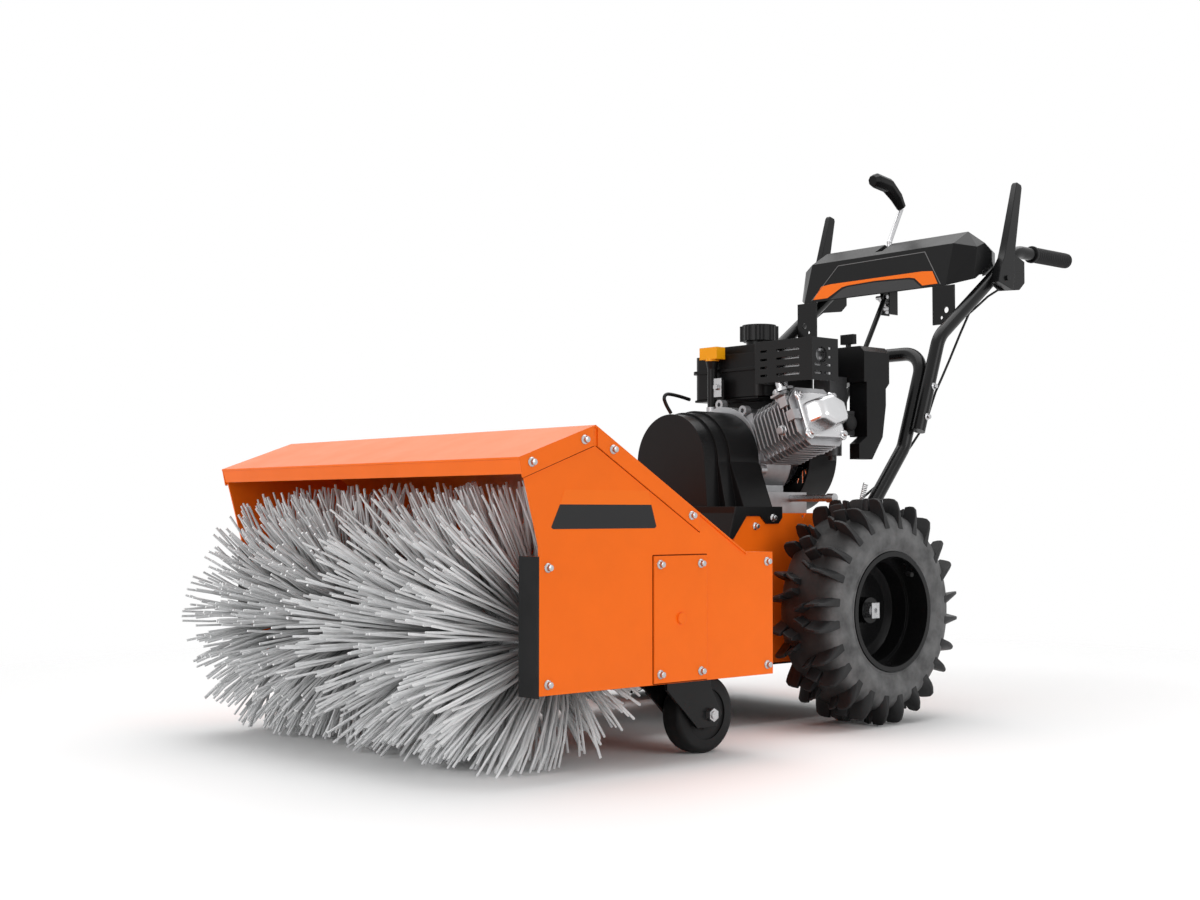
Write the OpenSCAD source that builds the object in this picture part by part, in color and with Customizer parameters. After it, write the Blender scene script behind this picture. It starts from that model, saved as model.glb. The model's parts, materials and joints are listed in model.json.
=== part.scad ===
// Walk-behind power brush sweeper: hooded brush on casters, engine, two driven wheels, handle.
// Millimetres, +Z up, the brush faces -Y and the operator stands at +Y.
// Places along Y are measured from the wheel axle; "ahead" is towards the brush.

/* [Housing] */
// Width over the two side panels
housing_w = 794; // [740:1:850]
// Thickness of the housing sheet
sheet_t = 3; // [2:0.5:4]
// Distance of the hood's front edge ahead of the axle
hood_front = 852; // [845:1:870]
// Height of the hood's front edge
hood_front_z = 428; // [420:1:440]
// Distance of the hood's ridge ahead of the axle
ridge_ahead = 721; // [700:1:735]
// Height of the hood's ridge
ridge_z = 474; // [465:1:490]
// Distance of the foot of the rear slope ahead of the axle
slope_foot = 428; // [415:1:440]
// Distance of the rear wall ahead of the axle
wall_ahead = 371; // [360:1:380]
// Height of the top of the rear wall
wall_top_z = 298; // [290:1:305]
// Height of the lower edge of the panels
panel_low_z = 118; // [117:1:126]
// Distance of the panels' front edge ahead of the axle
panel_front = 817; // [805:1:825]
// Width of the folded flanges of the hood
flange_w = 27; // [22:1:32]
// Depth of the hood's front lip
lip_h = 22; // [14:1:30]

/* [Brush] */
// Distance of the brush axis ahead of the axle
brush_ahead = 743; // [735:1:750]
// Height of the brush axis
brush_z = 183; // [183:0.5:190]
// Radius over the bristle tips
brush_r = 181; // [165:0.5:181]
// Clearance between the brush's ends and the side panels
brush_end_gap = 38.5; // [20:0.5:60]
// Radius of the bristle rings
ring_r = 58; // [50:1:70]
// Radius of the brush core
core_r = 44; // [36:0.5:46]
// Radius of the brush shaft
brush_shaft_r = 14; // [10:0.5:16]
// Rows of strands on each half of the brush
strand_rows = 10; // [7:1:12]
// Strands in a row
strands_per_row = 20; // [14:1:20]
// Width of a strand
strand_w = 6; // [4:0.5:7]

/* [Casters] */
// Diameter of a caster wheel
caster_d = 116; // [110:1:116]
// Width of a caster wheel
caster_w = 38; // [30:1:44]
// Distance of the swivels inside the side panels
caster_inset = 82; // [74:1:94]
// Distance of the swivels ahead of the axle
swivel_ahead = 489; // [480:1:492]
// Trail of the caster wheels
trail = 45; // [38:1:46]
// Radius of the caster stem
stem_r = 12; // [9:0.5:14]

/* [Wheels] */
// Diameter over the tyre lugs
tyre_d = 381; // [370:1:386]
// Width of a tyre
tyre_w = 122; // [110:1:124]
// Distance of the outer sidewalls from the centre plane
tyre_out_x = 332; // [331:1:345]
// Diameter of the rim's bead seat
rim_d = 190; // [180:1:200]
// Height of the lugs
lug_h = 21; // [14:1:24]
// Pairs of lugs on a tyre
lug_pairs = 22; // [16:1:26]
// Radius of the wheel axle
axle_r = 12.5; // [10:0.5:14]

/* [Frame] */
// Distance of the frame's side plates from the centre plane, outside
frame_x = 171; // [165:1:173]
// Height of the engine deck
deck_z = 355; // [350:1:360]
// Height of the frame's lower edge
frame_low_z = 102; // [96:1:110]
// Distance of the frame's rear edge behind the axle
frame_rear = 150; // [140:1:160]
// Thickness of the frame plates
frame_t = 4; // [3:0.5:5]

/* [Engine] */
// Height of the crankshaft above the deck
crank_h = 105; // [100:1:110]
// Lean of the cylinder above the level
lean = 20; // [15:1:25]
// Radius of the crankshaft
crank_r = 12.5; // [10:0.5:14]
// Radius of the engine pulley
engine_pulley_r = 38; // [34:1:42]
// Radius of the brush pulley
brush_pulley_r = 78; // [70:1:82]
// Number of cooling fins
fins = 9; // [6:1:10]
// Radius of the fuel cap
cap_r = 36; // [30:1:40]

/* [Handle] */
// Diameter of the handle tubes
tube_d = 25.4; // [22:0.1:27]
// Wall of the handle tubes
tube_wall = 2; // [1.5:0.1:3]
// Height of the grips
grip_z = 870; // [850:1:890]
// Distance of the grips' ends behind the axle
grip_end = 724; // [700:1:740]
// Length of a grip
grip_len = 128; // [110:1:140]
// Radius of a grip
grip_r = 15.5; // [14.5:0.1:17]
// Length of the levers
lever_len = 196; // [190:1:215]
// Half the console's width over its ends
console_half = 216; // [205:1:225]

/* [Hidden] */
$fn = 64;

// Colours of the finishes
orange = "#ff731e";
black = "#1c1c1e";
grey_strand = "#d4d5d6";
steel = "#c9cbcd";
cast = "#b4b6b8";
yellow = "#f5ae00";

// Clearances: between free pieces, of a running shaft, and the overrun of a cut
gap = 0.3;
run = 0.05;
over = 2;

// The middle of the whole machine is the origin
axle_y = (brush_ahead + brush_r - grip_end) / 2;
module in_frame() translate([0, axle_y, 0]) children();
module both_sides() { children(); mirror([1, 0, 0]) children(); }

// Plates: an outline in Y and Z carried along X, and an outline in X and Z carried along Y
module plate_yz(x, t, pts) translate([x, 0, 0]) rotate([90, 0, 90]) linear_extrude(t) polygon(pts);
module plate_xz(y, t, pts) translate([0, y + t, 0]) rotate([90, 0, 0]) linear_extrude(t) polygon(pts);
module box(x0, x1, y0, y1, z0, z1) translate([x0, y0, z0]) cube([x1 - x0, y1 - y0, z1 - z0]);
// Round bars along each axis, from a low end
module rod_x(x, y, z, r, l) translate([x, y, z]) rotate([0, 90, 0]) cylinder(r = r, h = l);
module rod_y(x, y, z, r, l) translate([x, y, z]) rotate([-90, 0, 0]) cylinder(r = r, h = l);
module rod_z(x, y, z, r, l) translate([x, y, z]) cylinder(r = r, h = l);
// Turned piece about X: a profile of [radius, place along X]
module turn_x(x, y, z, pts) translate([x, y, z]) rotate([0, 90, 0]) rotate_extrude() polygon(pts);

// Bent tube through a list of corners, with round bends
function unit(v) = v / norm(v);
function turn_angle(a, b) = acos(max(-1, min(1, unit(a) * unit(b))));
function bend_cut(p, i, r) = i == 0 || i == len(p) - 1 ? 0
    : r * tan(turn_angle(p[i] - p[i - 1], p[i + 1] - p[i]) / 2);
module along(a, b) {
    d = unit(b - a);
    side = abs(d.z) > 0.9 ? unit(cross([1, 0, 0], d)) : unit(cross([0, 0, 1], d));
    up = cross(d, side);
    multmatrix([[side.x, up.x, d.x, a.x], [side.y, up.y, d.y, a.y], [side.z, up.z, d.z, a.z], [0, 0, 0, 1]])
        children();
}
bend_steps = 6;
function arc_points(p, i, r) = let (
    a = unit(p[i] - p[i - 1]),
    b = unit(p[i + 1] - p[i]),
    in = unit(b - (a * b) * a),
    mid = p[i] - a * bend_cut(p, i, r) + in * r
) [for (t = [0 : bend_steps]) let (w = turn_angle(a, b) * t / bend_steps) mid + r * (a * sin(w)
    - in * cos(w))];
function round_path(p, r) = [for (i = [0 : len(p) - 1])
    each i == 0 || i == len(p) - 1 ? [p[i]] : arc_points(p, i, r)];
function path_dir(q, i) = unit(q[min(len(q) - 1, i + 1)] - q[max(0, i - 1)]);
function square_to(s, d) = unit(s - (s * d) * d);
function path_sides(q) = [for (i = 0, s = square_to([1, 0, 0], path_dir(q, 0)); i < len(q);
    i = i + 1, s = i < len(q) ? square_to(s, path_dir(q, i)) : s) s];
function path_rings(q, r, m) = let (sides = path_sides(q)) [for (i = [0 : len(q) - 1])
    let (d = path_dir(q, i), s = sides[i], u = cross(d, s))
    each [for (k = [0 : m - 1]) q[i] + r * (s * cos(k * 360 / m) + u * sin(k * 360 / m))]];
function skin(n, m, first, out) = [for (i = [0 : n - 2], k = [0 : m - 1])
    let (a = first + i * m + k, b = first + i * m + (k + 1) % m)
    each out ? [[a, a + m, b], [b, a + m, b + m]] : [[a, b, a + m], [b, b + m, a + m]]];
// Closed sweep along a path: a solid cable without a wall, else a hollow tube
module swept(q, r, wall, m) {
    n = len(q);
    hollow = wall > 0;
    polyhedron(
        concat(path_rings(q, r, m), hollow ? path_rings(q, r - wall, m) : []),
        concat(
            skin(n, m, 0, true),
            hollow ? skin(n, m, n * m, false) : [],
            hollow ? [for (e = [0, n - 1], k = [0 : m - 1]) let (
                a = e * m + k, b = e * m + (k + 1) % m, c = a + n * m, d = b + n * m)
                each e == 0 ? [[a, b, c], [b, d, c]] : [[a, c, b], [b, c, d]]]
            : [[for (k = [0 : m - 1]) k], [for (k = [m - 1 : -1 : 0]) (n - 1) * m + k]]
        )
    );
}

// Hexagon flange bolt that points along +X from its seat
bolt_flange_r = 9;
bolt_flange_t = 2;
bolt_hex_r = 7;
bolt_hex_h = 5;
module flange_bolt(x, y, z) translate([x, y, z]) rotate([0, 90, 0]) {
    cylinder(r = bolt_flange_r, h = bolt_flange_t);
    cylinder(r = bolt_hex_r, h = bolt_flange_t + bolt_hex_h, $fn = 6);
}

// Brush housing
panel_x = housing_w / 2;
panel_in_x = panel_x - sheet_t;
caster_x = panel_in_x - caster_inset;
hood_flange_t = 2;
flange_x = panel_x + hood_flange_t;
lip_lean = 6;
panel_knee_z = 312;
rear_flange_share = 0.67;
ridge_slit = 4;
hood_edge = [-hood_front, hood_front_z];
ridge = [-ridge_ahead, ridge_z];
foot = [-slope_foot, wall_top_z];
down = [0, -sheet_t];
lip_low = [-hood_front + lip_lean, hood_front_z - lip_h];
flange_drop = [0, -flange_w];
rear_flange_end = ridge + (foot - ridge) * rear_flange_share;
rear_flange_top = ridge + (foot - ridge) * ridge_slit / norm(foot - ridge);
front_flange_top = ridge + (hood_edge - ridge) * ridge_slit / norm(hood_edge - ridge);
// The housing's front flange carries the rubber strip
strip_w = 38;
strip_inner_x = panel_x - strip_w;
strip_t = 4;
strip_top_z = 299;
strip_low_z = 115;
cover_front = 614;
cover_rear = 510.5;
cover_low_z = 120;
cover_top_z = 296;
cover_t = 2;
cover_edge = 18;
cover_tab = 8;
cover_tab_h = 3;
cover_mid = [-(cover_front + cover_rear) / 2, (cover_low_z + cover_top_z) / 2];

module hood_front() color(orange) in_frame() {
    plate_yz(-flange_x, 2 * flange_x, [hood_edge, ridge, ridge + down, hood_edge + down]);
    plate_yz(-flange_x, 2 * flange_x, [hood_edge, hood_edge + [sheet_t, 0], lip_low + [sheet_t, 0], lip_low]);
    both_sides() plate_yz(panel_x, hood_flange_t,
        [hood_edge, front_flange_top, front_flange_top + flange_drop, hood_edge + [lip_lean,
            0] + flange_drop]);
}

module hood_rear() color(orange) in_frame() {
    plate_yz(-flange_x, 2 * flange_x, [ridge, foot, foot + down, ridge + down]);
    both_sides() plate_yz(panel_x, hood_flange_t,
        [rear_flange_top, rear_flange_end, rear_flange_end + flange_drop, rear_flange_top + flange_drop]);
}

module side_panels() color(orange) in_frame() both_sides() {
    difference() {
        plate_yz(panel_in_x, sheet_t, [
            [-panel_front, panel_low_z], [-wall_ahead, panel_low_z], [-wall_ahead, wall_top_z], foot,
            foot + down, ridge + down, hood_edge + [sheet_t + lip_lean * sheet_t / lip_h, 0] + down,
            lip_low + [sheet_t, 0],
            [-panel_front, panel_knee_z]
        ]);
        box(panel_in_x - over, panel_x + over, -cover_front + cover_edge, -cover_rear - cover_edge,
            cover_low_z + cover_edge, cover_top_z - cover_edge);
    }
    box(strip_inner_x, panel_in_x, -panel_front, -panel_front + sheet_t, panel_low_z, strip_top_z);
}

module rear_wall() color(orange) in_frame() {
    difference() {
        box(-panel_in_x, panel_in_x, -wall_ahead - sheet_t, -wall_ahead, panel_low_z, wall_top_z);
        rod_y(0, -wall_ahead - sheet_t - over, input_z, neck_r + gap, sheet_t + 2 * over);
    }
    box(-panel_in_x, panel_in_x, -slope_foot, -wall_ahead - sheet_t, wall_top_z - sheet_t, wall_top_z);
}

module access_covers() color(orange) in_frame() both_sides() {
    box(panel_x, panel_x + cover_t, -cover_front, -cover_rear, cover_low_z, cover_top_z);
    rod_x(panel_x + cover_t, cover_mid.x, cover_mid.y, cover_tab, cover_tab_h);
}

module edge_strips() color(black) in_frame() both_sides()
    box(strip_inner_x, panel_x, -panel_front - strip_t, -panel_front, strip_low_z, strip_top_z);

// Bolts of the housing: [place along Y, height], on the flanges, on the panel and on the cover
bolt_inset = 12;
strip_bolt_y = -panel_front + bolt_inset + sheet_t;
wall_bolt_y = -wall_ahead - bolt_inset;
low_bolt_z = cover_low_z + bolt_inset;
top_bolt_z = cover_top_z - bolt_inset;
mid_flange = flange_drop / 2;
flange_bolt_shares = [0.16, 0.85];
rear_bolt_shares = [0.16, 0.92];
module flange_bolts() color(steel) in_frame() both_sides() {
    for (s = flange_bolt_shares) {
        p = hood_edge + (ridge - hood_edge) * s + mid_flange;
        flange_bolt(flange_x, p.x, p.y);
    }
    for (s = rear_bolt_shares) {
        p = ridge + (rear_flange_end - ridge) * s + mid_flange;
        flange_bolt(flange_x, p.x, p.y);
    }
    for (y = [strip_bolt_y, wall_bolt_y], z = [low_bolt_z, top_bolt_z]) flange_bolt(panel_x, y, z);
    for (y = [-cover_front + bolt_inset, -cover_rear - bolt_inset], z = [low_bolt_z, top_bolt_z])
        flange_bolt(panel_x + cover_t, y, z);
    for (z = clamp_bolt_zs) flange_bolt(upper_x + tube_d / 2 + gap, stem_y(z), z);
    flange_bolt(frame_x + cover_skirt_t, skirt_bolt_y, skirt_bolt_z);
    flange_bolt(frame_x, frame_bolt_y, frame_bolt_z);
}

// Brush, gear case and input shaft
worm_rise = 50;
input_z = brush_z + worm_rise;
input_r = 12;
gear_half = 40;
gear_r = 62;
gear_rim_t = 9;
gear_rim_out = 10;
neck_r = 30;
neck_flange_r = 56;
neck_flange_t = 8;
neck_out = 12;
core_t = 3;
core_gap = 5;
disc_t = 4;
disc_hole_r = 9;
disc_holes = 3;
disc_inset_shares = [0, 0.9];
half_start = gear_half + core_gap;
half_end = panel_in_x - brush_end_gap;

module gear_case() color(black) in_frame() difference() {
    union() {
        rod_x(-gear_half, -brush_ahead, brush_z, gear_r, 2 * gear_half);
        rod_x(-gear_rim_t / 2, -brush_ahead, brush_z, gear_r + gear_rim_out, gear_rim_t);
        rod_y(0, -brush_ahead, input_z, neck_r, brush_ahead - wall_ahead + neck_out);
        rod_y(0, -wall_ahead - sheet_t - neck_flange_t, input_z, neck_flange_r, neck_flange_t);
    }
    rod_x(-gear_half - over, -brush_ahead, brush_z, brush_shaft_r + run, 2 * (gear_half + over));
    rod_y(0, -brush_ahead, input_z, input_r + run, brush_ahead - wall_ahead + neck_out + over);
}

module brush_shaft() color(steel) in_frame() translate([0, -brush_ahead, brush_z]) {
    rod_x(-half_end, 0, 0, brush_shaft_r, 2 * half_end);
    both_sides() {
        difference() {
            rod_x(half_start, 0, 0, core_r, half_end - half_start);
            rod_x(half_start - over, 0, 0, core_r - core_t, half_end - half_start + 2 * over);
        }
        for (s = disc_inset_shares) difference() {
            rod_x(half_start + s * (half_end - half_start), 0, 0, core_r - core_t / 2, disc_t);
            for (k = [0 : disc_holes - 1]) rotate([k * 360 / disc_holes, 0, 0])
                rod_x(half_start - over, 0, (brush_shaft_r + core_r - core_t) / 2, disc_hole_r, half_end);
        }
    }
}

// Bristles: a ring of flat facets, with one three-sided strand standing on each facet
strand_lean = 13;
stagger_share = 0.2;
tip_share = 0.75;
facet_w = 2 * ring_r * sin(180 / strands_per_row);
row_pitch = (half_end - half_start) / strand_rows;
bore_r = (core_r + gap) / cos(180 / strands_per_row);
tip_r = sqrt(brush_r * brush_r - strand_w * strand_w);
facet_turn = 180 - (0.5 + stagger_share) * 360 / strands_per_row;
function ring_point(x, r, j) =
    let (a = facet_turn + j * 360 / strands_per_row) [x, r * cos(a), r * sin(a)];
function row_x(i) = half_start + i * row_pitch;
function facet_point(i, j, u, v) =
    (1 - v) * ring_point(row_x(i + u), ring_r, j) + v * ring_point(row_x(i + u), ring_r, j + 1);
function strand_v(i) = 0.5 + (i % 2 == 0 ? stagger_share : -stagger_share);
function strand_foot(i, j) = let (u = strand_w / 2 / row_pitch, v = strand_w / 2 / facet_w) [
    facet_point(i, j, 0.5, strand_v(i) - v),
    facet_point(i, j, 0.5 + u, strand_v(i) + v / 2),
    facet_point(i, j, 0.5 - u, strand_v(i) + v / 2)
];
function strand_tip(i, j) = let (
    base = strand_foot(i, j),
    mid = (base[0] + base[1] + base[2]) / 3,
    out = unit([0, mid.y, mid.z]),
    lean_x = strand_lean * (2 * (i + 0.5) / strand_rows - 1),
    tip = [mid.x + lean_x, out.y * tip_r, out.z * tip_r]
) [for (p = base) tip + (p - mid) * tip_share];
function grid(i, j) = i * strands_per_row + j % strands_per_row;
inner_first = (strand_rows + 1) * strands_per_row;
strand_first = inner_first + 2 * strands_per_row;
function inner(e, j) = inner_first + e * strands_per_row + j % strands_per_row;
function strand(i, j, k) = strand_first + (i * strands_per_row + j) * 6 + k;
function cell_faces(i, j) = let (
    a = grid(i, j), b = grid(i + 1, j), c = grid(i + 1, j + 1), d = grid(i, j + 1),
    s = [for (k = [0 : 5]) strand(i, j, k)]
) concat(
    [[a, b, s[0]], [b, s[1], s[0]], [b, c, s[1]], [c, s[2], s[1]], [c, d, s[2]], [d, a, s[2]], [a,
        s[0], s[2]]],
    [for (k = [0 : 2]) each [[s[k], s[(k + 1) % 3], s[3 + k]], [s[(k + 1) % 3], s[3 + (k + 1) % 3],
        s[3 + k]]]],
    [[s[3], s[4], s[5]]]
);
function end_faces(j) = let (
    a = grid(0, j), b = grid(0, j + 1), p = inner(0, j), q = inner(0, j + 1),
    c = grid(strand_rows, j), d = grid(strand_rows, j + 1), r = inner(1, j), s = inner(1, j + 1)
) [[a, b, q], [a, q, p], [c, s, d], [c, r, s], [p, q, s], [p, s, r]];
module bristle_half() {
    points = concat(
        [for (i = [0 : strand_rows], j = [0 : strands_per_row - 1]) ring_point(row_x(i), ring_r, j)],
        [for (x = [half_start, half_end], j = [0 : strands_per_row - 1]) ring_point(x, bore_r, j)],
        [for (i = [0 : strand_rows - 1], j = [0 : strands_per_row - 1])
            each concat(strand_foot(i, j), strand_tip(i, j))]
    );
    faces = concat(
        [for (i = [0 : strand_rows - 1], j = [0 : strands_per_row - 1]) each cell_faces(i, j)],
        [for (j = [0 : strands_per_row - 1]) each end_faces(j)]
    );
    polyhedron(points, faces);
}
module left_bristles() color(grey_strand) in_frame() translate([0, -brush_ahead, brush_z]) bristle_half();
module right_bristles() color(grey_strand) in_frame() translate([0, -brush_ahead, brush_z])
    mirror([1, 0, 0]) bristle_half();

module input_shaft() color(steel) in_frame()
    rod_y(0, -brush_ahead + over, input_z, input_r, brush_ahead - over - pulley_rear);

// Casters
crown_gap = 4;
crown_t = 6;
crown_z = caster_d + crown_gap;
fork_front = 43;
fork_rear = 46;
arm_t = 5;
arm_gap = 3;
arm_in = caster_w / 2 + arm_gap;
arm_out = arm_in + arm_t;
arm_shoulder = 20;
arm_low = 18;
arm_toe = 26;
arm_back = 24;
stem_len = 130;
socket_wall = 7;
socket_len = 120;
socket_z = crown_z + crown_t + gap;
web_t = 10;
web_inset = 12;
caster_axle_r = 6;
caster_nut_r = 10;
caster_nut_h = 8;
tread_round = 8;
hub_side = 3;
hub_side_r = 22;
dish_r = 38;
swivel_y = -swivel_ahead;

module caster_sockets() color(black) in_frame() both_sides() difference() {
    union() {
        rod_z(caster_x, swivel_y, socket_z, stem_r + socket_wall, socket_len);
        box(caster_x, panel_in_x, swivel_y - web_t / 2, swivel_y + web_t / 2, socket_z + web_inset,
            socket_z + socket_len - web_inset);
    }
    rod_z(caster_x, swivel_y, socket_z - over, stem_r + run, socket_len + 2 * over);
}

module caster_fork(side) color(black) in_frame() translate([side * caster_x, swivel_y, 0]) difference() {
    union() {
        rod_z(0, 0, crown_z, stem_r, crown_t + stem_len);
        box(-arm_out, arm_out, -fork_front, fork_rear, crown_z, crown_z + crown_t);
        both_sides() plate_yz(arm_in, arm_t, [
            [-fork_front, crown_z], [-fork_front, crown_z - arm_shoulder],
            [trail - arm_toe, caster_d / 2 - arm_low], [trail + arm_back / 2, caster_d / 2 - arm_low],
            [trail + arm_back, caster_d / 2], [fork_rear, crown_z - arm_shoulder], [fork_rear, crown_z]
        ]);
    }
    rod_x(-arm_out - over, trail, caster_d / 2, caster_axle_r + gap, 2 * (arm_out + over));
}
module left_caster_fork() caster_fork(1);
module right_caster_fork() caster_fork(-1);

module caster_axle(side) color(steel) in_frame() translate([side * caster_x, swivel_y + trail,
    caster_d / 2]) {
    rod_x(-arm_out, 0, 0, caster_axle_r, 2 * arm_out);
    both_sides() rod_x(arm_out, 0, 0, caster_axle_r, caster_nut_h + over);
    both_sides() translate([arm_out, 0, 0]) rotate([0, 90, 0]) cylinder(r = caster_nut_r,
        h = caster_nut_h, $fn = 6);
}
module left_caster_axle() caster_axle(1);
module right_caster_axle() caster_axle(-1);

module caster_wheel(side) color(black) in_frame()
    turn_x(side * caster_x, swivel_y + trail, caster_d / 2, let (h = caster_w / 2, r = caster_d / 2) concat(
        [[caster_axle_r + run, -h - hub_side + gap], [hub_side_r, -h - hub_side + gap], [hub_side_r,
            -h + hub_side]],
        [[dish_r, -h + hub_side], [dish_r, -h]],
        [for (a = [0 : 15 : 90]) [r - tread_round * (1 - sin(a)), -h + tread_round * (1 - cos(a))]],
        [for (a = [90 : -15 : 0]) [r - tread_round * (1 - sin(a)), h - tread_round * (1 - cos(a))]],
        [[dish_r, h], [dish_r, h - hub_side], [hub_side_r, h - hub_side]],
        [[hub_side_r, h + hub_side - gap], [caster_axle_r + run, h + hub_side - gap]]
    ));
module left_caster_wheel() caster_wheel(1);
module right_caster_wheel() caster_wheel(-1);

// Frame
axle_z = tyre_d / 2;
frame_in_x = frame_x - frame_t;
frame_rear_knee = 120;
frame_rear_knee_z = 300;
frame_front_knee = 205;
frame_front_foot = 222;
deck_front = 72;
deck_rear = 100;
notch_y = -45;
notch_w = 14;
notch_h = 12;
pan_t = 3;
guard_x = [-110, -10];
guard_low = [128, 352];
guard_top = [222, 436];
guard_lip_h = 38;
guard_t = 4;
tab_x = 95;
tab_y = -130;
tab_half = 16;
stud_r = 6;
stud_len = 14;
idler_pivot = [110, 240];
bearing_r = 22;
bearing_flange_r = 32;
bearing_flange_t = 5;
bearing_in = 14;
frame_bolt_y = -166;
frame_bolt_z = 333;

module frame_side() difference() {
    plate_yz(frame_in_x, frame_t, [
        [-wall_ahead, frame_low_z], [frame_rear, frame_low_z], [frame_rear, frame_rear_knee_z],
        [frame_rear_knee, deck_z], [notch_y + notch_w / 2, deck_z], [notch_y, deck_z - notch_h],
        [notch_y - notch_w / 2, deck_z], [-frame_front_knee, deck_z], [-frame_front_foot, wall_top_z],
        [-wall_ahead, wall_top_z]
    ]);
    rod_x(frame_in_x - over, 0, axle_z, bearing_r + gap, frame_t + 2 * over);
}
module main_frame() color(orange) in_frame() {
    both_sides() frame_side();
    difference() {
        box(-frame_in_x, frame_in_x, -wall_ahead, -wall_ahead + frame_t, frame_low_z, wall_top_z);
        rod_y(0, -wall_ahead - over, input_z, neck_r + gap, frame_t + 2 * over);
    }
    box(-frame_in_x, frame_in_x, -wall_ahead + frame_t, -frame_front_foot - apron_t - gap,
        wall_top_z - frame_t, wall_top_z);
    box(-frame_in_x, frame_in_x, -deck_front, deck_rear, deck_z - frame_t, deck_z);
    box(-frame_in_x, frame_in_x, frame_rear - frame_t, frame_rear, frame_low_z, frame_rear_knee_z);
    plate_yz(guard_x[0], guard_x[1] - guard_x[0], [
        [guard_low.x - 2 * guard_t, deck_z - frame_t], [guard_low.x, deck_z - frame_t], guard_top,
        guard_top + [0, guard_lip_h], guard_top + [-guard_t, guard_lip_h], guard_top + [-guard_t, 0]
    ]);
    box(tab_x, frame_in_x, tab_y, tab_y + frame_t, idler_pivot.y - tab_half, idler_pivot.y + tab_half);
    rod_y(idler_pivot.x, tab_y - stud_len, idler_pivot.y, stud_r, stud_len);
}
module belly_pan() color(black) in_frame()
    box(-frame_x, frame_x, -wall_ahead, frame_rear, frame_low_z - pan_t, frame_low_z);

module axle_bearings() color(steel) in_frame() both_sides() difference() {
    union() {
        rod_x(frame_x - bearing_in, 0, axle_z, bearing_r, bearing_in + bearing_flange_t);
        rod_x(frame_x, 0, axle_z, bearing_flange_r, bearing_flange_t);
    }
    rod_x(frame_x - bearing_in - over, 0, axle_z, axle_r + run, bearing_in + bearing_flange_t + 2 * over);
}

// Wheels
tyre_half = tyre_w / 2;
wheel_x = tyre_out_x - tyre_half;
tread_r = tyre_d / 2 - lug_h;
rim_r = rim_d / 2;
rim_t = 3;
rim_lip = 5;
rim_lip_t = 4;
rim_inset = 6;
rim_half = tyre_half - rim_inset;
well_r = 72;
step_r = 86;
step_x = 18;
well_in = 14;
well_w = 34;
hub_r = 22;
hub_out = 24;
hub_in = 22;
axle_end = 8;
pin_plate = [26, 20, 3];
pin_r = 4;
section_r = 132;
square_share = 0.6;
tyre_wall = 8;
bead_in = 7;
lug_t = 14;
lug_in = 3;
lug_shoulder = 48;
lug_end = 60;
lug_sink = 4;
lug_low_shares = [0.26, 0.62];
chevron = 26;
lug_reach = (lug_end - lug_in) / 2;
lug_top = sqrt(pow(tyre_d / 2, 2) - pow(lug_reach * sin(chevron) + lug_t / 2, 2));

function bulge(w, h, a) = [section_r + h * pow(sin(a), square_share),
    w * sign(cos(a)) * pow(abs(cos(a)), square_share)];
module tyre_carcass() rotate([0, 90, 0]) rotate_extrude() polygon(concat(
    [[rim_r + gap, tyre_half - bead_in]],
    [for (a = [0 : 12 : 180]) bulge(tyre_half, tread_r - section_r, a)],
    [[rim_r + gap, -tyre_half + bead_in], [rim_r + gap, -tyre_half + bead_in + tyre_wall]],
    [for (a = [180 : -20 : 0]) bulge(tyre_half - tyre_wall, tread_r - section_r - tyre_wall, a)],
    [[rim_r + gap, tyre_half - bead_in - tyre_wall]]
));
module lug() translate([(lug_in + lug_end) / 2, 0, 0]) rotate([0, 0, chevron])
    translate([-(lug_in + lug_end) / 2, lug_t / 2, 0]) rotate([90, 0, 0]) linear_extrude(lug_t) polygon([
        [lug_in, tread_r - lug_sink], [lug_in, lug_top], [lug_shoulder, lug_top],
        [lug_end, lug_top - lug_h * (1 + lug_low_shares[0])],
        [lug_end - lug_sink, section_r], [lug_shoulder - lug_sink,
            tread_r - lug_sink - lug_h * lug_low_shares[1]],
        [lug_shoulder / 2, tread_r - lug_sink]
    ]);
module tyre() {
    tyre_carcass();
    for (k = [0 : lug_pairs - 1]) {
        rotate([180 + k * 360 / lug_pairs, 0, 0]) lug();
        rotate([180 + (k + 0.5) * 360 / lug_pairs, 0, 0]) mirror([1, 0, 0]) lug();
    }
}
module tyres() color(black) in_frame() both_sides() translate([wheel_x, 0, axle_z]) tyre();

module rim() turn_x(0, 0, 0, [
    [axle_r + run, -well_in - hub_in], [hub_r, -well_in - hub_in], [hub_r, -well_in - rim_t],
    [well_r, -well_in - rim_t], [rim_r - rim_t, -well_in - well_w], [rim_r - rim_t, -rim_half - rim_lip_t],
    [rim_r + rim_lip, -rim_half - rim_lip_t], [rim_r + rim_lip, -rim_half], [rim_r, -rim_half],
    [rim_r, rim_half], [rim_r + rim_lip, rim_half], [rim_r + rim_lip, rim_half + rim_lip_t],
    [rim_r - rim_t, rim_half + rim_lip_t], [rim_r - rim_t, step_x], [step_r, step_x],
    [step_r - rim_t, -well_in + rim_lip_t], [well_r - rim_lip, -well_in], [hub_r, -well_in],
    [hub_r, -well_in + hub_out], [axle_r + run, -well_in + hub_out]
]);
module rims() color(black) in_frame() both_sides() translate([wheel_x, 0, axle_z]) rim();
axle_half = wheel_x - well_in + hub_out + axle_end;
module axle_shaft() color(steel) in_frame() rod_x(-axle_half, 0, axle_z, axle_r, 2 * axle_half);
module hub_pins() color(steel) in_frame() both_sides() translate([axle_half, 0, axle_z])
    difference() {
        box(0, pin_plate.z, -pin_plate.y / 2, pin_plate.y / 2, -pin_plate.x / 2, pin_plate.x / 2);
        rod_x(-over, 0, 0, pin_r, pin_plate.z + 2 * over);
    }

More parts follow.
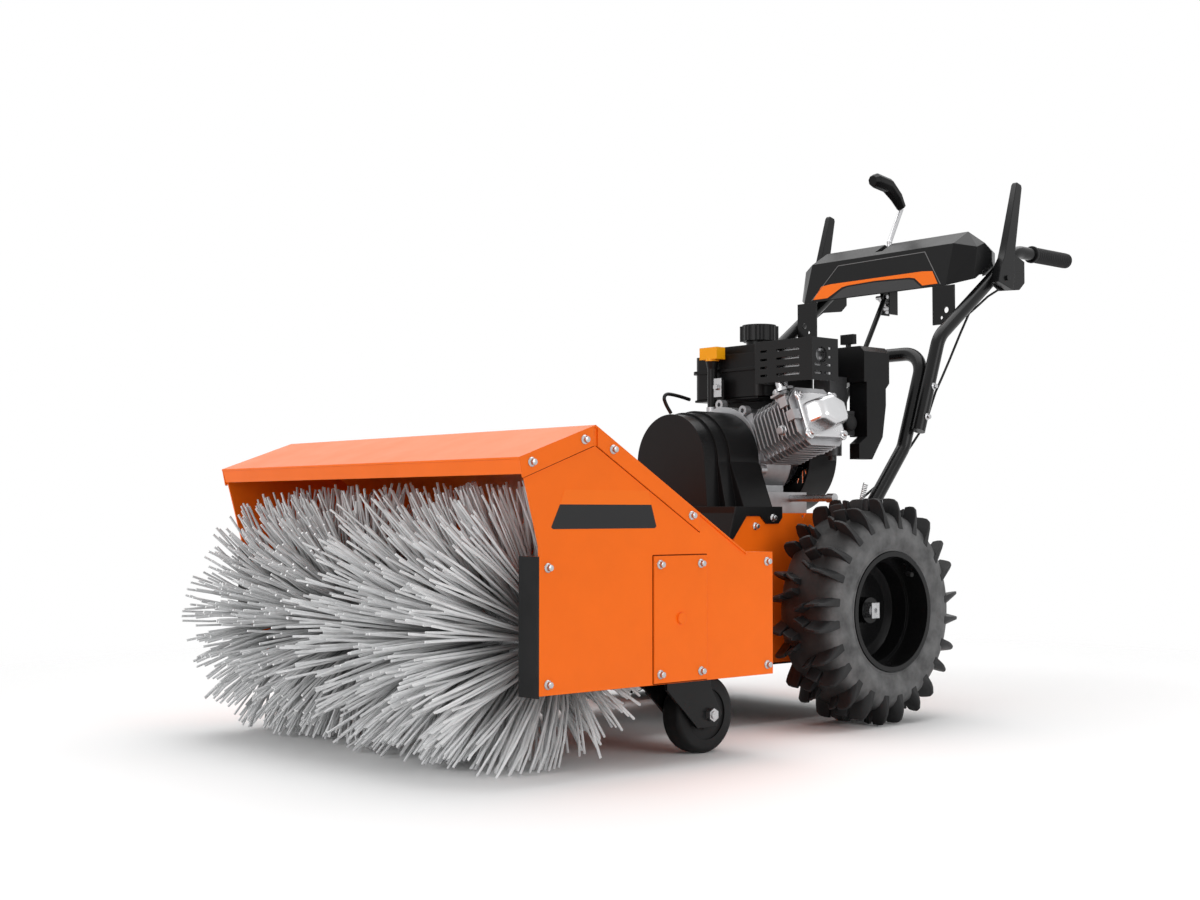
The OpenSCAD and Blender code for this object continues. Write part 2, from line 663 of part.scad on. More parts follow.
// Belt drive
crank_z = deck_z + crank_h;
belt_y = -150;
belt_w = 12;
groove_h = 10;
pulley_w = 22;
pulley_rear = 136;
hub_wall = 8;
loop_d = crank_z - input_z;
loop_turn = asin((brush_pulley_r - engine_pulley_r) / loop_d);
idler_r = 22;
idler_w = 16;
idler_len = 80;
idler_rest = 12;
arm_plate_t = 5;
arm_half = 9;
// The slack side of the belt at the idler's height
idler_z = idler_pivot.y + idler_len;
slack_x = (brush_pulley_r + gap) / cos(loop_turn) - (idler_z - input_z) * tan(loop_turn);
idler_x = slack_x + idler_r / cos(loop_turn) + idler_rest;

module pulley(z, r, bore) translate([0, belt_y, z]) rotate([90, 0, 0]) difference() {
    rotate_extrude() polygon([
        [bore, -pulley_w / 2], [r, -pulley_w / 2], [r, -belt_w / 2 - gap], [r - groove_h, -belt_w / 2 - gap],
        [r - groove_h, belt_w / 2 + gap], [r, belt_w / 2 + gap], [r, pulley_w / 2], [bore, pulley_w / 2]
    ]);
    for (k = [0 : 4]) rotate([0, 0, k * 72]) translate([(bore + hub_wall + r - groove_h) / 2, 0, -pulley_w])
        cylinder(r = max(run, (r - groove_h - bore - hub_wall) / 2 - hub_wall), h = 2 * pulley_w);
}
module brush_pulley() color(steel) in_frame() pulley(input_z, brush_pulley_r, input_r + run);
module engine_pulley() color(steel) in_frame() pulley(crank_z, engine_pulley_r, crank_r + run);
module belt_loop(grow) {
    big = brush_pulley_r + grow;
    small = engine_pulley_r + grow;
    translate([0, input_z]) circle(big);
    translate([0, crank_z]) circle(small);
    polygon([for (s = [1, -1]) each let (c = cos(loop_turn), n = sin(loop_turn))
        s > 0 ? [[big * c, input_z + big * n], [small * c, crank_z + small * n]]
        : [[-small * c, crank_z + small * n], [-big * c, input_z + big * n]]]);
}
module brush_belt() color(black) in_frame() translate([0, belt_y + belt_w / 2, 0]) rotate([90, 0, 0])
    linear_extrude(belt_w) difference() {
        belt_loop(gap);
        belt_loop(gap - groove_h);
    }
module idler_arm() color(steel) in_frame() difference() {
    union() {
        translate([0, tab_y - arm_plate_t - 2 * gap, 0]) {
            rod_y(idler_pivot.x, 0, idler_pivot.y, 2 * stud_r, arm_plate_t);
            plate_xz(0, arm_plate_t, [idler_pivot + [-arm_half, 0], idler_pivot + [arm_half, 0],
                [idler_x + arm_half, idler_z], [idler_x - arm_half, idler_z]]);
            rod_y(idler_x, 0, idler_z, arm_half, arm_plate_t);
        }
        rod_y(idler_x, belt_y - idler_w / 2, idler_z, idler_r, idler_w);
        rod_y(idler_x, belt_y, idler_z, stud_r, tab_y - belt_y - arm_plate_t);
    }
    rod_y(idler_pivot.x, belt_y, idler_pivot.y, stud_r + run, 4 * stud_len);
}

// Belt cover: three stepped tombstone sections over a base that sits on the frame
cover_wall = 4;
cover_front_y = -200;
cover_steps = [0, 30, 56];
cover_back_y = -deck_front;
cover_top_rs = [84, 88, 92];
cover_low_half = [92, 108, 128];
cover_eye_z = 444;
base_h = 11;
apron_t = 5;
cover_skirt_t = 3;
skirt_front = 210;
skirt_rear = 102;
skirt_low_z = 337;
skirt_mid_z = deck_z - apron_t;
skirt_leg_z = 312;
skirt_bolt_y = -126;
skirt_bolt_z = 347;
base_front = skirt_front + apron_t;
module tombstone(i, inset) {
    w = cover_top_rs[i] - inset;
    translate([0, cover_eye_z]) circle(w);
    polygon([[-w, cover_eye_z], [-cover_low_half[i] + inset, deck_z - (inset > 0 ? base_h : 0)],
        [cover_low_half[i] - inset, deck_z - (inset > 0 ? base_h : 0)], [w, cover_eye_z]]);
}
module cover_step(i, inset) translate([0, cover_back_y + (inset > 0 ? over : 0), 0]) rotate([90, 0, 0])
    linear_extrude(cover_back_y - cover_front_y - cover_steps[i] - inset + (inset > 0 ? over : 0))
        tombstone(i, inset);
module belt_cover() color(black) in_frame() difference() {
    union() {
        for (i = [0 : 2]) cover_step(i, 0);
        box(-frame_x - cover_skirt_t, frame_x + cover_skirt_t, -base_front, -skirt_rear, deck_z,
            deck_z + base_h);
        both_sides() plate_yz(frame_x, cover_skirt_t, [
            [-base_front, deck_z + base_h], [-skirt_rear, deck_z + base_h], [-skirt_rear, skirt_bolt_z],
            [-skirt_rear - 2 * apron_t, skirt_low_z], [skirt_bolt_y - 3 * apron_t, skirt_low_z],
            [skirt_bolt_y - 6 * apron_t, skirt_mid_z], [-skirt_front + 4 * apron_t, skirt_mid_z],
            [-frame_front_foot, skirt_leg_z], [-frame_front_foot - 2 * apron_t, skirt_leg_z]
        ]);
        plate_yz(-frame_in_x + gap, 2 * (frame_in_x - gap), [
            [-base_front, deck_z], [-base_front + apron_t, deck_z], [-frame_front_foot, wall_top_z],
            [-frame_front_foot - apron_t, wall_top_z]
        ]);
    }
    for (i = [0 : 2]) cover_step(i, cover_wall);
}

// Engine: the crankshaft runs along Y, and the cylinder leans up towards +X
case_front = -70;
case_rear = 22;
case_r = 86;
neck_case_r = 60;
blower_y = 50;
case_half = 66;
base_x = [-92, 104];
base_y = [-66, 40];
case_base_h = 37;
ear_r = 9;
ear_hole_r = 4;
ear_ring_r = 91.5;
ear_t = 14;
ear_back = 2;
case_step = 20;
ear_angles = [-50, -18, 58, 96, 134, 172];
stub_u = [40, 87];
stub_half = [52, 46];
cyl_y = -10;
dip_x = -36;
dip_y = -58;
dip_boss_r = 11;
dip_boss_z = 548;
dip_low_z = 478;
dip_bore_r = 6;
crank_front = 163;
crank_rear = 124;
wheel_fan_r = 58;
wheel_fan_y = 72;
wheel_fan_t = 18;
module leaning() translate([0, cyl_y, crank_z]) rotate([0, -lean, 0]) children();

module crankcase() color(cast) in_frame() difference() {
    union() {
        rod_y(0, case_front, crank_z, case_r, case_rear - case_front);
        rod_y(0, case_rear - over, crank_z, neck_case_r, blower_y - case_rear + over);
        box(base_x[0], base_x[1], base_y[0], base_y[1], deck_z, deck_z + case_base_h);
        box(-case_half, case_half, case_front + case_step, case_rear - ear_back,
            deck_z + case_base_h - over, crank_z);
        for (a = ear_angles) rotate_about_crank(a)
            rod_y(ear_ring_r, case_front + ear_back, 0, ear_r, ear_t);
        leaning() box(stub_u[0], stub_u[1], -stub_half.x, stub_half.x, -stub_half.y, stub_half.y);
        rod_z(dip_x, dip_y, dip_low_z - ear_r, dip_boss_r, dip_boss_z - dip_low_z + ear_r);
    }
    rod_y(0, case_front - over, crank_z, crank_r + run, blower_y - case_front + 2 * over);
    for (a = ear_angles) rotate_about_crank(a)
        rod_y(ear_ring_r, case_front - over, 0, ear_hole_r, ear_t);
    rod_z(dip_x, dip_y, dip_low_z, dip_bore_r, dip_boss_z - dip_low_z + over);
}
module rotate_about_crank(a) translate([0, 0, crank_z]) rotate([0, -a, 0]) children();

module crankshaft() color(steel) in_frame() {
    rod_y(0, -crank_front, crank_z, crank_r, crank_front + crank_rear);
    rod_y(0, wheel_fan_y, crank_z, wheel_fan_r, wheel_fan_t);
}

// Finned cylinder and head: fins stand square to the cylinder's axis
barrel_u = [stub_u[1], 190];
barrel_half = [40, 38];
fin_t = 3;
fin_half = [60, 52];
fin_cut = 24;
head_grow = 2;
port_u = [138, 176];
port_y = [-58, -14];
port_low = 30;
port_top = 56;
plug_u = 150;
plug_z = -14;
plug_r = 6;
plug_out = 6;
module fin(u, grow) translate([u, 0, 0]) rotate([90, 0, 90]) linear_extrude(fin_t) polygon(
    let (y = fin_half.x + grow, w = fin_half.y + grow, c = fin_cut)
    [[-y, -w + c], [-y + c, -w], [y - c, -w], [y, -w + c], [y, w - c], [y - c, w], [-y + c, w], [-y, w - c]]);
module cylinder_block() {
    box(barrel_u[0], barrel_u[1], -barrel_half.x, barrel_half.x, -barrel_half.y, barrel_half.y);
    pitch = (barrel_u[1] - barrel_u[0] - fin_t) / fins;
    for (k = [1 : fins]) fin(barrel_u[0] + k * pitch, k > fins / 2 ? head_grow : 0);
    box(port_u[0], port_u[1], port_y[0], port_y[1], port_low, port_top);
    rod_y(plug_u, -fin_half.x - plug_out, plug_z, plug_r, plug_out + fin_half.x - barrel_half.x);
}
module finned_cylinder() color(cast) in_frame() leaning() cylinder_block();

// Valve cover: a four-eared flange with a six-sided dome
vc_t = 7;
vc_half = [56, 46];
vc_ear_r = 12;
vc_bolt_r = 6;
vc_bolt_h = 5;
dome_low = [46, 38];
dome_top = [30, 24];
dome_h = 34;
dome_cut_share = 0.45;
dome_shift = 6;
module six_sided(h, s) polygon([[-h.x, -h.y * s], [0, -h.y], [h.x, -h.y * s], [h.x, h.y * s], [0, h.y],
    [-h.x, h.y * s]]);
module valve_cover() color(steel) in_frame() leaning() translate([barrel_u[1], 0, 0]) {
    box(0, vc_t, -vc_half.x, vc_half.x, -vc_half.y, vc_half.y);
    for (y = [-1, 1], w = [-1, 1]) {
        rod_x(0, y * vc_half.x, w * vc_half.y, vc_ear_r, vc_t);
        rod_x(0, y * vc_half.x, w * vc_half.y, vc_bolt_r, vc_t + vc_bolt_h);
    }
    hull() {
        translate([vc_t - over, 0, 0]) rotate([90, 0, 90]) linear_extrude(over) six_sided(dome_low,
            dome_cut_share);
        translate([vc_t + dome_h - over, dome_shift, 0]) rotate([90, 0, 90])
            linear_extrude(over) six_sided(dome_top, dome_cut_share);
    }
}

// Exhaust: a pipe from the port into the silencer box, and the slotted guard around it
guard_box_x = [75, 208];
guard_box_y = [-62, 6];
guard_box_z = [584, 658];
guard_wall = 2.5;
can_inset = 12;
can_low = 8;
pipe_r = 11;
pipe_flange_r = 20;
pipe_flange_t = 5;
pipe_len = 46;
boss_r = 6;
port_mid = (port_u[0] + port_u[1]) / 2;
port_mid_y = (port_y[0] + port_y[1]) / 2;
slot_h = 4;
slot_zs = [597, 611, 625, 640];
slot_short = [87, 103];
slot_long = [125, 178];
side_slots_low = [[-56, -38], [-30, -12]];
outlet_y = -38;
outlet_z = 628;
outlet_r = 14;
module exhaust_pipe() color(steel) in_frame() {
    leaning() translate([port_mid, port_mid_y, port_top]) {
        cylinder(r = pipe_flange_r, h = pipe_flange_t);
        cylinder(r = pipe_r, h = pipe_len);
    }
    box(guard_box_x[0] + can_inset, guard_box_x[1] - can_inset, guard_box_y[0] + can_inset,
        guard_box_y[1] - can_inset / 2, guard_box_z[0] + can_low, guard_box_z[1] - can_inset);
    for (x = slot_long) rod_y(x, guard_box_y[0] + guard_wall, guard_box_z[1] - 2 * can_inset, boss_r,
        can_inset);
}
module muffler_guard() color(black) in_frame() difference() {
    box(guard_box_x[0], guard_box_x[1], guard_box_y[0], guard_box_y[1], guard_box_z[0], guard_box_z[1]);
    box(guard_box_x[0] + guard_wall, guard_box_x[1] - guard_wall, guard_box_y[0] + guard_wall,
        guard_box_y[1] + over, guard_box_z[0] - over, guard_box_z[1] - guard_wall);
    for (z = slot_zs, x = [slot_short, slot_long])
        box(x[0], x[1], guard_box_y[0] - over, guard_box_y[0] + 2 * over, z - slot_h / 2, z + slot_h / 2);
    for (z = [slot_zs[0], slot_zs[1]], y = side_slots_low)
        box(guard_box_x[1] - 2 * over, guard_box_x[1] + over, y[0], y[1], z - slot_h / 2, z + slot_h / 2);
    for (z = [slot_zs[2], slot_zs[3]]) box(guard_box_x[1] - 2 * over, guard_box_x[1] + over,
        outlet_y + outlet_r + slot_h, side_slots_low[1][1], z - slot_h / 2, z + slot_h / 2);
    rod_x(guard_box_x[1] - 2 * over, outlet_y, outlet_z, outlet_r, 4 * over);
}

// Carburettor and its cover
carb_x = [112, 150];
carb_y = [cyl_y + fin_half.x + head_grow, 99];
carb_z = [505, 600];
bowl_r = 17;
bowl_low = 458;
bowl_nut_r = 7;
bowl_nut_h = 8;
bulb_y = 80;
bulb_z = 516;
bulb_r = 15;
bulb_x = 162;
bulb_t = 5;
bulb_out = 14;
bulb_plate_half = 22;
cover_x = [78, 190];
cover_y = [99, 170];
cover_z = [590, 655];
cover_cut = 10;
cover_in_x = 150;
tail_x = 168;
lower_y = [106, 160];
tail_z = 492;
tail_low_z = 451;
tail_front = 84;
tail_rear = 120;
tail_mid_z = 478;
shaft_r = 5;
shaft_x = 120;
shaft_y = 140;
shaft_sink = 12;
wing = [30, 10, 18];
wing_gap = 10;
module carburettor() color(cast) in_frame() difference() {
    union() {
        box(carb_x[0], carb_x[1], carb_y[0], carb_y[1], carb_z[0], carb_z[1]);
        rod_z((carb_x[0] + carb_x[1]) / 2, bulb_y, bowl_low, bowl_r, carb_z[0] - bowl_low + over);
        rod_z((carb_x[0] + carb_x[1]) / 2, bulb_y, bowl_low - bowl_nut_h, bowl_nut_r, bowl_nut_h);
        box(bulb_x, bulb_x + bulb_t, carb_y[0], carb_y[1], bulb_z - bulb_plate_half,
            bulb_z + bulb_plate_half);
        box(carb_x[1], bulb_x + bulb_t, carb_y[0], carb_y[0] + bulb_t, carb_z[0], bulb_z + bulb_plate_half);
    }
    rod_x(bulb_x - over, bulb_y, bulb_z, bulb_r + run, bulb_t + 2 * over);
}
module primer_bulb() color(black) in_frame() translate([bulb_x, bulb_y, bulb_z]) rotate([0, 90, 0])
    rotate_extrude() polygon(concat(
        [[0, 0], [bulb_r, 0], [bulb_r, bulb_t + bulb_out / 2]],
        [for (a = [15 : 15 : 90]) [bulb_r * cos(a), bulb_t + bulb_out / 2 * (1 + sin(a))]]
    ));
module carb_cover() color(black) in_frame() difference() {
    union() {
        plate_xz(cover_y[0], cover_y[1] - cover_y[0], [
            [cover_x[0], cover_z[0]], [cover_x[1], cover_z[0]], [cover_x[1], cover_z[1] - cover_cut],
            [cover_x[1] - cover_cut, cover_z[1]], [cover_x[0] + cover_cut, cover_z[1]],
            [cover_x[0], cover_z[1] - cover_cut]
        ]);
        plate_yz(cover_in_x, cover_x[1] - cover_in_x, [
            [lower_y[0], tail_z], [lower_y[1] - cover_cut, tail_z], [lower_y[1], cover_z[0] - 4 * cover_cut],
            [lower_y[1], cover_z[0] - cover_cut], [cover_y[1], cover_z[0]], [lower_y[0], cover_z[0]]
        ]);
        plate_yz(tail_x, cover_x[1] - tail_x, [
            [tail_front, tail_low_z], [tail_rear, tail_low_z], [lower_y[1] - cover_cut, tail_z],
            [lower_y[0], tail_z], [tail_front, tail_mid_z]
        ]);
    }
    rod_z(shaft_x, shaft_y, cover_z[1] - shaft_sink, shaft_r + run, shaft_sink + over);
}
module throttle_knob() color(black) in_frame() {
    rod_z(shaft_x, shaft_y, cover_z[1] - shaft_sink, shaft_r, shaft_sink + wing_gap + over);
    box(shaft_x - wing.x / 2, shaft_x + wing.x / 2, shaft_y - wing.y / 2, shaft_y + wing.y / 2,
        cover_z[1] + wing_gap, cover_z[1] + wing_gap + wing.z);
}

// Fuel tank in two halves with a seam, its filler neck and its cap
tank_x = [-102, 70];
tank_y = [-43, 110];
tank_z = [565, 660];
tank_round = 18;
seam_z = 612;
seam_t = 6;
seam_out = 4;
crown_in = 12;
crown_h = 16;
filler = [-12, 42];
filler_r = 24;
filler_h = 22;
cap_h = 30;
cap_lift = 14;
cap_lobes = 8;
cap_lobe_r = 9;
module rounded(x, y, r, grow) {
    g = grow;
    translate([x[0] - g + r, y[0] - g]) square([x[1] - x[0] + 2 * g - 2 * r, y[1] - y[0] + 2 * g]);
    translate([x[0] - g, y[0] - g + r]) square([x[1] - x[0] + 2 * g, y[1] - y[0] + 2 * g - 2 * r]);
    for (cx = [x[0] - g + r, x[1] + g - r], cy = [y[0] - g + r, y[1] + g - r]) translate([cx, cy]) circle(r);
}
module fuel_tank() color(black) in_frame() {
    translate([0, 0, tank_z[0]]) linear_extrude(tank_z[1] - crown_h - tank_z[0]) rounded(tank_x,
        tank_y, tank_round, 0);
    translate([0, 0, seam_z]) linear_extrude(seam_t) rounded(tank_x, tank_y, tank_round, seam_out);
    translate([0, 0, seam_z]) linear_extrude(tank_z[1] - seam_z) rounded(tank_x, tank_y, tank_round,
        -crown_in);
    rod_z(filler.x, filler.y, tank_z[1] - over, filler_r, filler_h + over);
}
module fuel_cap() color(black) in_frame() translate([filler.x, filler.y, tank_z[1] + cap_lift]) difference() {
    union() {
        cylinder(r = cap_r - cap_lobe_r / 2, h = cap_h);
        for (k = [0 : cap_lobes - 1]) rotate([0, 0, k * 360 / cap_lobes])
            translate([cap_r - cap_lobe_r, 0, 0]) cylinder(r = cap_lobe_r, h = cap_h - over);
    }
    translate([0, 0, -over]) cylinder(r = filler_r + gap, h = filler_h - cap_lift + gap + over);
}

// Blower housing with its starter grille, and the starter's pull handle
blower_r = 104;
blower_rear = 124;
blower_wall = 4;
starter_r = 82;
starter_rear = 150;
saddle_x = [-60, 40];
saddle_y = [60, 100];
slits = 24;
slit_r = [24, 50];
slit_w = 5;
pull_at = [-46, 506];
pull = [46, 22, 20];
pull_rest = 3;
module blower_housing() color(black) in_frame() difference() {
    union() {
        rod_y(0, blower_y, crank_z, blower_r, blower_rear - blower_y);
        rod_y(0, blower_rear - over, crank_z, starter_r, starter_rear - blower_rear + over);
        box(saddle_x[0], saddle_x[1], saddle_y[0], saddle_y[1], crank_z, tank_z[0]);
    }
    rod_y(0, blower_y - over, crank_z, blower_r - blower_wall, blower_rear - blower_y - blower_wall + over);
    rod_y(0, blower_y, crank_z, starter_r - blower_wall, starter_rear - blower_y - blower_wall);
    for (k = [0 : slits - 1]) rotate_about_crank(k * 360 / slits)
        box(slit_r[0], slit_r[1], starter_rear - 2 * blower_wall, starter_rear + over, -slit_w / 2,
            slit_w / 2);
}
module recoil_handle() color(black) in_frame() translate([pull_at.x, starter_rear + gap, pull_at.y]) {
    box(-pull.x / 2, pull.x / 2, pull_rest, pull_rest + pull.y, -pull.z / 2, pull.z / 2);
    rod_y(0, 0, 0, pull.z / 3, pull_rest + over);
}

// Oil filler tube with its dipstick, and the oil drain pipe
tube_r = 9;
funnel_r = 12;
funnel_h = 14;
dip_top_z = 632;
strap = [30, 4, 36];
strap_z = 561;
stick_r = 3;
stick_low = 490;
dip_handle = [44, 22, 20];
dip_stop_r = 12;
dip_stop_h = 5;
drain_y = -2;
drain_z = 381;
drain_r = 6;
drain_end = 206;
drain_cap_r = 8;
drain_cap_len = 16;
module dipstick_tube() color(black) in_frame() difference() {
    union() {
        rod_z(dip_x, dip_y, dip_boss_z, tube_r, dip_top_z - dip_boss_z);
        translate([dip_x, dip_y, dip_top_z - funnel_h]) cylinder(r1 = tube_r, r2 = funnel_r, h = funnel_h);
        box(dip_x, dip_x + strap.x, dip_y - strap.y / 2, dip_y + strap.y / 2, strap_z, strap_z + strap.z);
    }
    rod_z(dip_x, dip_y, dip_boss_z - over, dip_bore_r, dip_top_z - dip_boss_z + 2 * over);
}
module dipstick() color(yellow) in_frame() {
    rod_z(dip_x, dip_y, stick_low, stick_r, dip_top_z - stick_low + over);
    rod_z(dip_x, dip_y, dip_top_z + gap, dip_stop_r, dip_stop_h);
    box(dip_x - dip_handle.x / 2, dip_x + dip_handle.x / 2, dip_y - dip_handle.y / 2,
        dip_y + dip_handle.y / 2,
        dip_top_z + gap + dip_stop_h - over, dip_top_z + gap + dip_stop_h + dip_handle.z);
}
module drain_pipe() color(steel) in_frame() {
    rod_x(base_x[1], drain_y, drain_z, drain_r, drain_end - base_x[1]);
    rod_x(drain_end - drain_cap_len, drain_y, drain_z, drain_cap_r, drain_cap_len);
}

// Handle
leg_x = frame_x + tube_d / 2 + gap;
upper_x = leg_x + tube_d + gap;
leg_foot = [75, 310];
leg_knee_z = 475;
stem_foot = [228, 505];
stem_knee = [293, 683];
crossbar_z = 655;
grip_bend = 545;
tube_sides = 24;
handle_bend = 46;
upper_bend = 60;
grip_cap = 4;
collar_r = 17;
collar_t = 6;
clamp_bolt_zs = [531, 588];
function stem_y(z) = stem_foot.x
    + (z - stem_foot.y) * (stem_knee.x - stem_foot.x) / (stem_knee.y - stem_foot.y);
lower_path = [
    [leg_x, leg_foot.x, leg_foot.y], [leg_x, stem_y(leg_knee_z), leg_knee_z],
    [leg_x, stem_y(crossbar_z), crossbar_z], [-leg_x, stem_y(crossbar_z), crossbar_z],
    [-leg_x, stem_y(leg_knee_z), leg_knee_z], [-leg_x, leg_foot.x, leg_foot.y]
];
upper_path = [
    [upper_x, stem_foot.x, stem_foot.y], [upper_x, stem_knee.x, stem_knee.y],
    [upper_x, grip_bend, grip_z], [upper_x, grip_end - grip_cap - gap, grip_z]
];
module lower_handle() color(black) in_frame() 
    swept(round_path(lower_path, handle_bend), tube_d / 2, tube_wall, tube_sides);
module upper_handles() color(black) in_frame() both_sides()
    swept(round_path(upper_path, upper_bend), tube_d / 2, tube_wall, tube_sides);
module grips() color(black) in_frame() both_sides() difference() {
    union() {
        rod_y(upper_x, grip_end - grip_len, grip_z, grip_r, grip_len);
        rod_y(upper_x, grip_end - grip_len, grip_z, collar_r, collar_t);
    }
    rod_y(upper_x, grip_end - grip_len - over, grip_z, tube_d / 2 + run, grip_len - grip_cap + over);
}

// Console: a faceted shell, open below, with a slot for the speed lever
console_mid_half = 178;
console_front = [358, 789];
console_brow = [384, 873];
console_ridge = [432, 901];
console_back = [520, 868];
console_hem = [520, 830];
end_front = [395, 801];
end_brow = [407, 864];
end_ridge = [432, 874];
end_back = [455, 860];
end_hem = [455, 840];
console_wall = 3;
console_open = 6;
console_mid = (console_front + console_ridge + console_hem) / 3;
hem_dir = unit(console_hem - console_front);
hem_down = [hem_dir.y, -hem_dir.x];
function drawn_in(pts, d) = [for (p = pts) p - unit(p - console_mid) * d];
speed_x = -16;
slot_half = 9;
slot_y = [400, 468];
module console_solid(d) hull() {
    plate_yz(-console_mid_half + d, 2 * (console_mid_half - d),
        drawn_in([console_front, console_brow, console_ridge, console_back, console_hem], 2 * d));
    plate_yz(-console_half + d, 2 * (console_half - d),
        drawn_in([end_front, end_brow, end_ridge, end_back, end_hem], 2 * d));
}
module console() color(black) in_frame() difference() {
    console_solid(0);
    translate([0, hem_down.x * console_open, hem_down.y * console_open]) console_solid(console_wall);
    box(speed_x - slot_half, speed_x + slot_half, slot_y[0], slot_y[1], console_brow.y - console_open,
        console_ridge.y + over);
}

// Brackets: under the console, for the speed lever, and for the two hand levers
plate_t = 4;
plate_w = 50;
plate_low_z = 715;
plate_hole_r = 6;
plate_small_r = 3.5;
plate_hole = [178, 742];
plate_small = [167, 728];
pivot = [432, 769];
pivot_pin_r = 4;
cheek_t = 3;
cheek_half = 13;
cheek_top_z = 880;
lever_pivot = [462, 806];
lever_pin_r = 5;
bracket_x = upper_x + tube_d / 2 + gap;
lever_x = bracket_x + plate_t + 2 * gap;
lever_w = 18;
lever_wall = 2;
lever_lean = 14.5;
bracket_w = 111;
bracket_h = 80;
bracket_at = [437, 783];
bracket_shares = [[0, 0.16], [0.12, 0.59], [0.48, 0.64], [0.6, 1], [1, 0.81], [1, 0.29], [0.84, 0.1],
    [0.26, 0]];
module handle_brackets() color(black) in_frame() {
    both_sides() {
        difference() {
            box(upper_x - tube_d / 2 - gap - plate_w, upper_x - tube_d / 2 - gap, console_front.x,
                console_front.x + plate_t, plate_low_z, console_front.y);
            rod_y(plate_hole.x, console_front.x - over, plate_hole.y, plate_hole_r, plate_t + 2 * over);
            rod_y(plate_small.x, console_front.x - over, plate_small.y, plate_small_r, plate_t + 2 * over);
        }
        plate_yz(bracket_x, plate_t, [for (s = bracket_shares) bracket_at + [s.x * bracket_w,
            s.y * bracket_h]]);
        rod_x(bracket_x, lever_pivot.x, lever_pivot.y, lever_pin_r, plate_t + lever_w + 2 * over);
    }
    translate([speed_x, 0, 0]) {
        both_sides() box(slot_half, slot_half + cheek_t, pivot.x - cheek_half, pivot.x + cheek_half,
            pivot.y - cheek_half, cheek_top_z);
        rod_x(-slot_half - cheek_t, pivot.x, pivot.y, pivot_pin_r, 2 * (slot_half + cheek_t));
    }
}

lever_foot = 16;
lever_low_half = 24;
lever_top_half = 15;
lever_set = 20;
lever_hole_r = 3;
lever_hole_down = 14;
module lever(side) color(black) in_frame() scale([side, 1, 1]) translate([lever_x, lever_pivot.x,
    lever_pivot.y])
    rotate([-lever_lean, 0, 0]) difference() {
        plate_yz(0, lever_w, [[-lever_low_half, -lever_foot], [lever_low_half, -lever_foot],
            [lever_low_half, lever_set], [lever_top_half, lever_len], [-lever_top_half, lever_len],
            [-lever_low_half, lever_set]]);
        plate_yz(lever_wall, lever_w - 2 * lever_wall, [
            [-lever_low_half + lever_wall, -lever_foot - over], [2 * lever_low_half, -lever_foot - over],
            [2 * lever_low_half, lever_len - lever_wall], [-lever_top_half + lever_wall,
                lever_len - lever_wall],
            [-lever_low_half + lever_wall, lever_set]]);
        rod_x(-over, 0, 0, lever_pin_r + run, lever_w + 2 * over);
        rod_x(-over, 0, lever_len - lever_hole_down, lever_hole_r, lever_w + 2 * over);
    }
module left_lever() lever(1);
module right_lever() lever(-1);

// Speed lever, its knob and the shift rod that it moves
rod_r = 5;
arm_len = 38;
rod_lean = 30.5;
knuckle_r = 5.6;
rod_dir = [-sin(rod_lean), -cos(rod_lean)];
arm_end = pivot + arm_len * [rod_dir.y, -rod_dir.x];
lever_mid = [435, 905];
lever_tip = [474.1, 978.4];
hub_half = 8;
speed_hub_r = 10;
pin_eye_gap = 1.3;
eye_r = 10;
eye_t = 6;
shift_len = 530;
module rod_between(a, b) along([speed_x, a.x, a.y], [speed_x, b.x, b.y]) cylinder(r = rod_r, h = norm(b - a));
module speed_lever() color(steel) in_frame() difference() {
    union() {
        rod_between(pivot, lever_mid);
        translate([speed_x, lever_mid.x, lever_mid.y]) sphere(knuckle_r);
        rod_between(lever_mid, lever_tip);
        rod_between(pivot, arm_end);
        rod_x(speed_x - hub_half, pivot.x, pivot.y, speed_hub_r, 2 * hub_half);
        rod_x(speed_x - rod_r, arm_end.x, arm_end.y, pivot_pin_r, rod_r - speed_x + eye_t);
    }
    rod_x(speed_x - 2 * hub_half, pivot.x, pivot.y, pivot_pin_r + run, 4 * hub_half);
}
module shift_rod() color(black) in_frame() difference() {
    union() {
        rod_x(-eye_t / 2, arm_end.x, arm_end.y, eye_r, eye_t);
        along([0, arm_end.x, arm_end.y],
            [0, arm_end.x + rod_dir.x * shift_len, arm_end.y + rod_dir.y * shift_len])
            cylinder(r = rod_r, h = shift_len);
    }
    rod_x(-2 * eye_t, arm_end.x, arm_end.y, pivot_pin_r + pin_eye_gap, 4 * eye_t);
}
knob_wide = 28;
knob_narrow = 14;
knob_edge = 4;
knob_foot = [475, 980];
knob_foot_half = [9, -2];
knob_nape = [472, 1025];
knob_throat = [424, 1001];
knob_crown = [417, 1044];
knob_nose = [379, 1038];
knob_chin = [385, 1007];
module knob_part(pts) {
    mid = [for (k = [0, 1]) [for (p = pts) p[k]] * [for (p = pts) 1] / len(pts)];
    hull() {
        plate_yz(-knob_wide / 2, knob_wide, [for (p = pts) p - unit(p - mid) * knob_edge]);
        plate_yz(-knob_narrow / 2, knob_narrow, pts);
    }
}
module speed_knob() color(black) in_frame() translate([speed_x, 0, 0]) {
    knob_part([knob_foot + knob_foot_half, knob_nape, knob_throat, knob_foot - knob_foot_half]);
    knob_part([knob_nape, knob_crown, knob_nose, knob_chin, knob_throat]);
}

